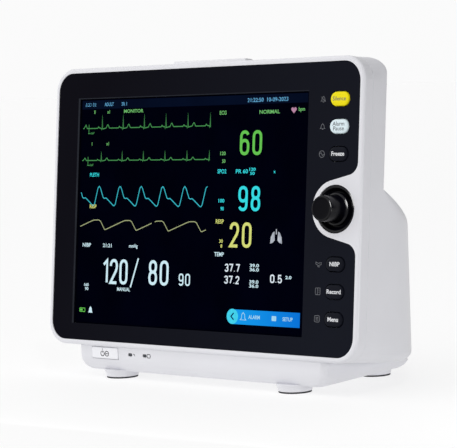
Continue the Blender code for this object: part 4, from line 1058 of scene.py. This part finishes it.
# ---------------------------------------------------------------- legends and marks
def key_legends():
    """The keys' plain function words, and the small pictogram beside each key."""
    texts = {
        "key_silence": (("Silence", 0),),
        "key_alarm_pause": (("Alarm", 1.75), ("Pause", -1.75)),
        "key_freeze": (("Freeze", 0),),
        "key_nibp": (("NIBP", 0),),
        "key_record": (("Record", 0),),
        "key_menu": (("Menu", 0),),
    }
    for name, lines in texts.items():
        on_pale = name in ("key_silence", "key_alarm_pause")
        ink, bold = ("ink_grey", 0.02) if on_pale else ("ink_white", 0.13)

        def legend(bm):
            for text, up in lines:
                centre_z = KEY_STEPS[name] * KEY_PITCH / MM + up
                words(bm, text, KEY_X / MM, centre_z, 3.3, 1.04, bold)

        graphic(name + "_legend", legend, ink, -KEY_PROUD - 0.00005, name)

    bell = [(-2.3, -1.4), (-1.5, -0.7), (-1.3, 0.9), (0, 2.2), (1.3, 0.9), (1.5, -0.7), (2.3, -1.4)]
    bell = [(bell, True), ([(-0.7, -2.1), (0.7, -2.1)], False)]
    cuff = [(-2.6, 1.4), (-0.4, 0.4), (2.6, 1.0), (2.6, -0.6), (-0.2, -1.2), (-2.6, -0.2)]
    sheet = [(rounded_rect(4.6, 5.0, 0.5, steps=3), True), ([(-0.2, -2.5), (-0.2, 2.5)], False)]
    # each pictogram's lines round its middle, as (points, closed)
    pictograms = {
        "key_silence": bell + [([(-1.9, 1.9), (1.9, -1.9)], False)],
        "key_alarm_pause": bell,
        "key_freeze": [
            (circle(2.5, steps=24), True),
            ([(-2.3, 0), (-0.9, 1.1), (0.7, -1.1), (2.3, 0)], False),
        ],
        "key_nibp": [(cuff, True), ([(-0.6, -1.1), (-0.6, -2.2), (1.4, -2.2)], False)],
        "key_record": sheet + [([(0.7, up), (1.6, up)], False) for up in (1.0, -0.6)],
        "key_menu": [(rounded_rect(5.0, 4.8, 1.2, steps=4), True)]
        + [([(-1.4, up), (1.4, up)], False) for up in (-1.0, 0, 1.0)],
    }
    x, line = 126.0, 0.42

    def icons(bm):
        for name, marks in pictograms.items():
            z = KEY_STEPS[name] * KEY_PITCH / MM
            for points, closed in marks:
                ribbon(bm, [(x + px, z + pz) for px, pz in points], line, closed)

    graphic("panel_pictograms", icons, "ink_grey", -0.00004)


def chin():
    """The power key with its standby mark, and the plug and battery marks by the lights."""
    front, flange_y = BASE_FRONT, BASE_FRONT + WALL + 0.0012
    rows = [
        (-2 * i, 2 * i, 0.0013 - i / 2, front + y)
        for i, y in ((0.0012, -0.00075), (0.0006, -0.0007), (0.0002, -0.0004), (0, 0.0002))
    ]
    rows += [(0, 0, 0.0013, flange_y - 0.0008), (0, 0.0020, 0.0013, flange_y - 0.0004)]
    rows += [(0.0020, 0.0020, 0.0013, flange_y + y) for y in (0, 0.0010)]
    rings = [
        at_depth(rounded_rect(POWER_W + wider, POWER_H - lower, radius, POWER_X, POWER_Z, 6), y)
        for wider, lower, radius, y in rows
    ]
    cap = loft("power_key_cap", rings)
    piece("power_key_cap", cap, "power_key", BODY, "power_key", "case_white", "power_key_white")

    def standby(bm):
        x, z = POWER_X / MM - 2.4, POWER_Z / MM - 0.4
        ribbon(bm, arc(x, z, 2.0, 118, 422, 24), 0.62)
        ribbon(bm, [(x, z + 0.7), (x, z + 2.4)], 0.62)
        filled(bm, circle(0.45, x, z + 3.6, 16))
        ribbon(bm, circle(2.0, x + 5.0, z, 24), 0.62, True)
        ribbon(bm, [(x + 3.8, z), (x + 6.2, z)], 0.62)

    graphic("power_key_mark", standby, "ink_dark", front - 0.00085, "power_key", BODY)

    def marks(bm):
        x, z = LED_XS[0] / MM + 4.4, POWER_Z / MM
        ribbon(bm, [(x - 1.1, z + 0.9), (x + 0.2, z + 0.2), (x + 1.0, z - 0.9)], 0.45)
        ribbon(bm, [(x + 0.2, z + 0.2), (x + 0.9, z + 0.7)], 0.4)
        x = LED_XS[1] / MM + 4.6
        ribbon(bm, rounded_rect(3.2, 2.8, 0.3, x, z, 3), 0.55, True)
        ribbon(bm, [(x + 2.0, z - 0.6), (x + 2.0, z + 0.6)], 0.4)

    graphic("light_marks", marks, "ink_dark", front - 0.00004, "case", BODY)


# ---------------------------------------------------------------- connector details
def socket_contacts():
    """Gold pins in the round sockets and springs in the network jack."""
    bm = bmesh.new()
    pins = {"segments": 12, "radius1": 0.0005, "radius2": 0.0005, "depth": 0.0060}
    for name, count, ring in (
        ("ecg_socket", 6, 0.0040),
        ("spo2_socket", 6, 0.0034),
        ("temp_socket_1", 2, 0.0016),
        ("temp_socket_2", 2, 0.0016),
    ):
        x, z, _ = SOCKETS[name]
        for px, pz in circle(ring, x, z, count):
            spot = SIDE @ Matrix.Translation((px, 0.0052, pz)) @ Matrix.Rotation(pi / 2, 4, "X")
            bmesh.ops.create_cone(bm, cap_ends=True, matrix=spot, **pins)
    size = Matrix.Diagonal((0.0006, 0.0100, 0.0004, 1))
    lean = Matrix.Rotation(radians(12), 4, "X")
    for i in range(8):
        spot = (NETWORK_X + (i - 3.5) * 0.0011, BACK_Y - PORT_DEPTH - 0.0060, PORT_Z + 0.0030)
        bmesh.ops.create_cube(bm, size=1, matrix=BODY @ Matrix.Translation(spot) @ lean @ size)
    piece("socket_contacts", mesh_of(bm, "socket_contacts"), "case", WORLD, finish="contact_gold")


def finish_cad_nodes():
    """Joined, smooth-shaded CAD nodes with the record's finishes."""
    slots = {s["node"]: s["material_slot"] for s in frame["record"]["subparts"]}
    for name, node in NODES.items():
        node.data.materials.clear()
        node.data.materials.append(MATERIALS[slots[name]])
        node.data.shade_smooth()
        node.modifiers.new("weld", "WELD").merge_threshold = 1e-6
        node.modifiers.new("split", "EDGE_SPLIT").split_angle = SHARP


# ---------------------------------------------------------------- stage, light and camera
def stage():
    """A wide pale floor, a soft studio surround and six lamps, one of them for the knob alone."""
    disc = [[(x, y, 0) for x, y in circle(radius, steps=64)] for radius in (0.6, 60.0)]
    floor = bpy.data.objects.new("floor", loft("floor", disc, caps=(0,)))
    pale = surface("floor_pale", (0.30, 0.30, 0.30), 0.9, 60, 0.0002, 0.004, 0.1)
    tree = pale.node_tree
    bounce = spread(tree, across(tree), 0.62, 0.34, 0.08, 0.30)
    strength = camera_or(tree, 0.70, bounce)
    shader = tree.nodes["Principled BSDF"]
    feed(tree, shader, {"Emission Color": (1, 1, 1, 1), "Emission Strength": strength})
    floor.data.materials.append(pale)
    bpy.context.scene.collection.objects.link(floor)

    world = bpy.data.worlds.new("studio")
    bpy.context.scene.world = world
    world.use_nodes = True
    tree = world.node_tree
    brightest = Vector((-0.80, -0.45, 0.40)).normalized()
    towards = add_node(tree, "TexCoord").outputs["Generated"]
    lean = vector_math(tree, "DOT_PRODUCT", towards, brightest)["Value"]
    strength = camera_or(tree, 0.962, spread(tree, lean, 0.0, 1.36, -0.68, 1.0))
    feed(tree, tree.nodes["Background"], {"Color": (1, 1, 1, 1), "Strength": strength})

    for name, at, power, shape in (
        ("key", (-0.4, -1.3, 1.9), 1.2, (0.9, 0.9)),
        ("top", (0.75, -0.65, 1.6), 2.5, (0.10, 0.10)),
        ("front_bounce", (0.02, -0.27, 0.006), 0.04, (0.50, 0.06)),
        ("side_bounce", (0.50, 0.0, 0.06), 0.34, (0.30, 0.08)),
        ("side_box", (1.25, -0.35, 0.30), 0.9, (0.25, 1.0)),
        ("knob_card", (1.02, -0.86, 1.00), 120, (0.9, 1.1)),
    ):
        data = bpy.data.lights.new(name, "AREA")
        data.energy = power
        data.shape = "ELLIPSE"
        data.size, data.size_y = shape
        lamp = bpy.data.objects.new(name, data)
        lamp.location = at
        aim = Vector((0, 0, 0.12)) - Vector(at)
        lamp.rotation_euler = aim.to_track_quat("-Z", "Y").to_euler()
        lamp.visible_camera = False
        bpy.context.scene.collection.objects.link(lamp)
    lit = bpy.data.collections.new("lit_by_knob_card")
    bpy.data.objects["knob_card"].light_linking.receiver_collection = lit
    for name in ("knob_grip", "knob_bezel"):
        lit.objects.link(bpy.data.objects[name])
    bpy.context.scene.view_settings.view_transform = "Standard"


def camera():
    """A long lens from the right, a little above the screen's middle."""
    turn, dip, roll = radians(42.03), radians(3.86), radians(-2.40)
    forward = Vector((-sin(turn) * cos(dip), cos(turn) * cos(dip), -sin(dip)))
    right = Vector((cos(turn), sin(turn), 0))
    up = right.cross(forward)
    side = right * cos(roll) + up * sin(roll)
    top = -right * sin(roll) + up * cos(roll)
    data = bpy.data.cameras.new("camera")
    data.lens = 165.37
    data.sensor_width = 36.0
    data.clip_end = 200
    view = bpy.data.objects.new("camera", data)
    place = Matrix((side, top, -forward)).transposed().to_4x4()
    place.translation = Vector((1.12703, knob_at.y - 1.21398, knob_at.z + 0.09764))
    view.matrix_world = place
    bpy.context.scene.collection.objects.link(view)
    bpy.context.scene.camera = view


camera()
finish_cad_nodes()
front_frame()
front_panel()
rear_housing()
base_tray()
keys()
knob()
screen()
painted_window_highlight()
key_legends()
chin()
socket_contacts()
stage()
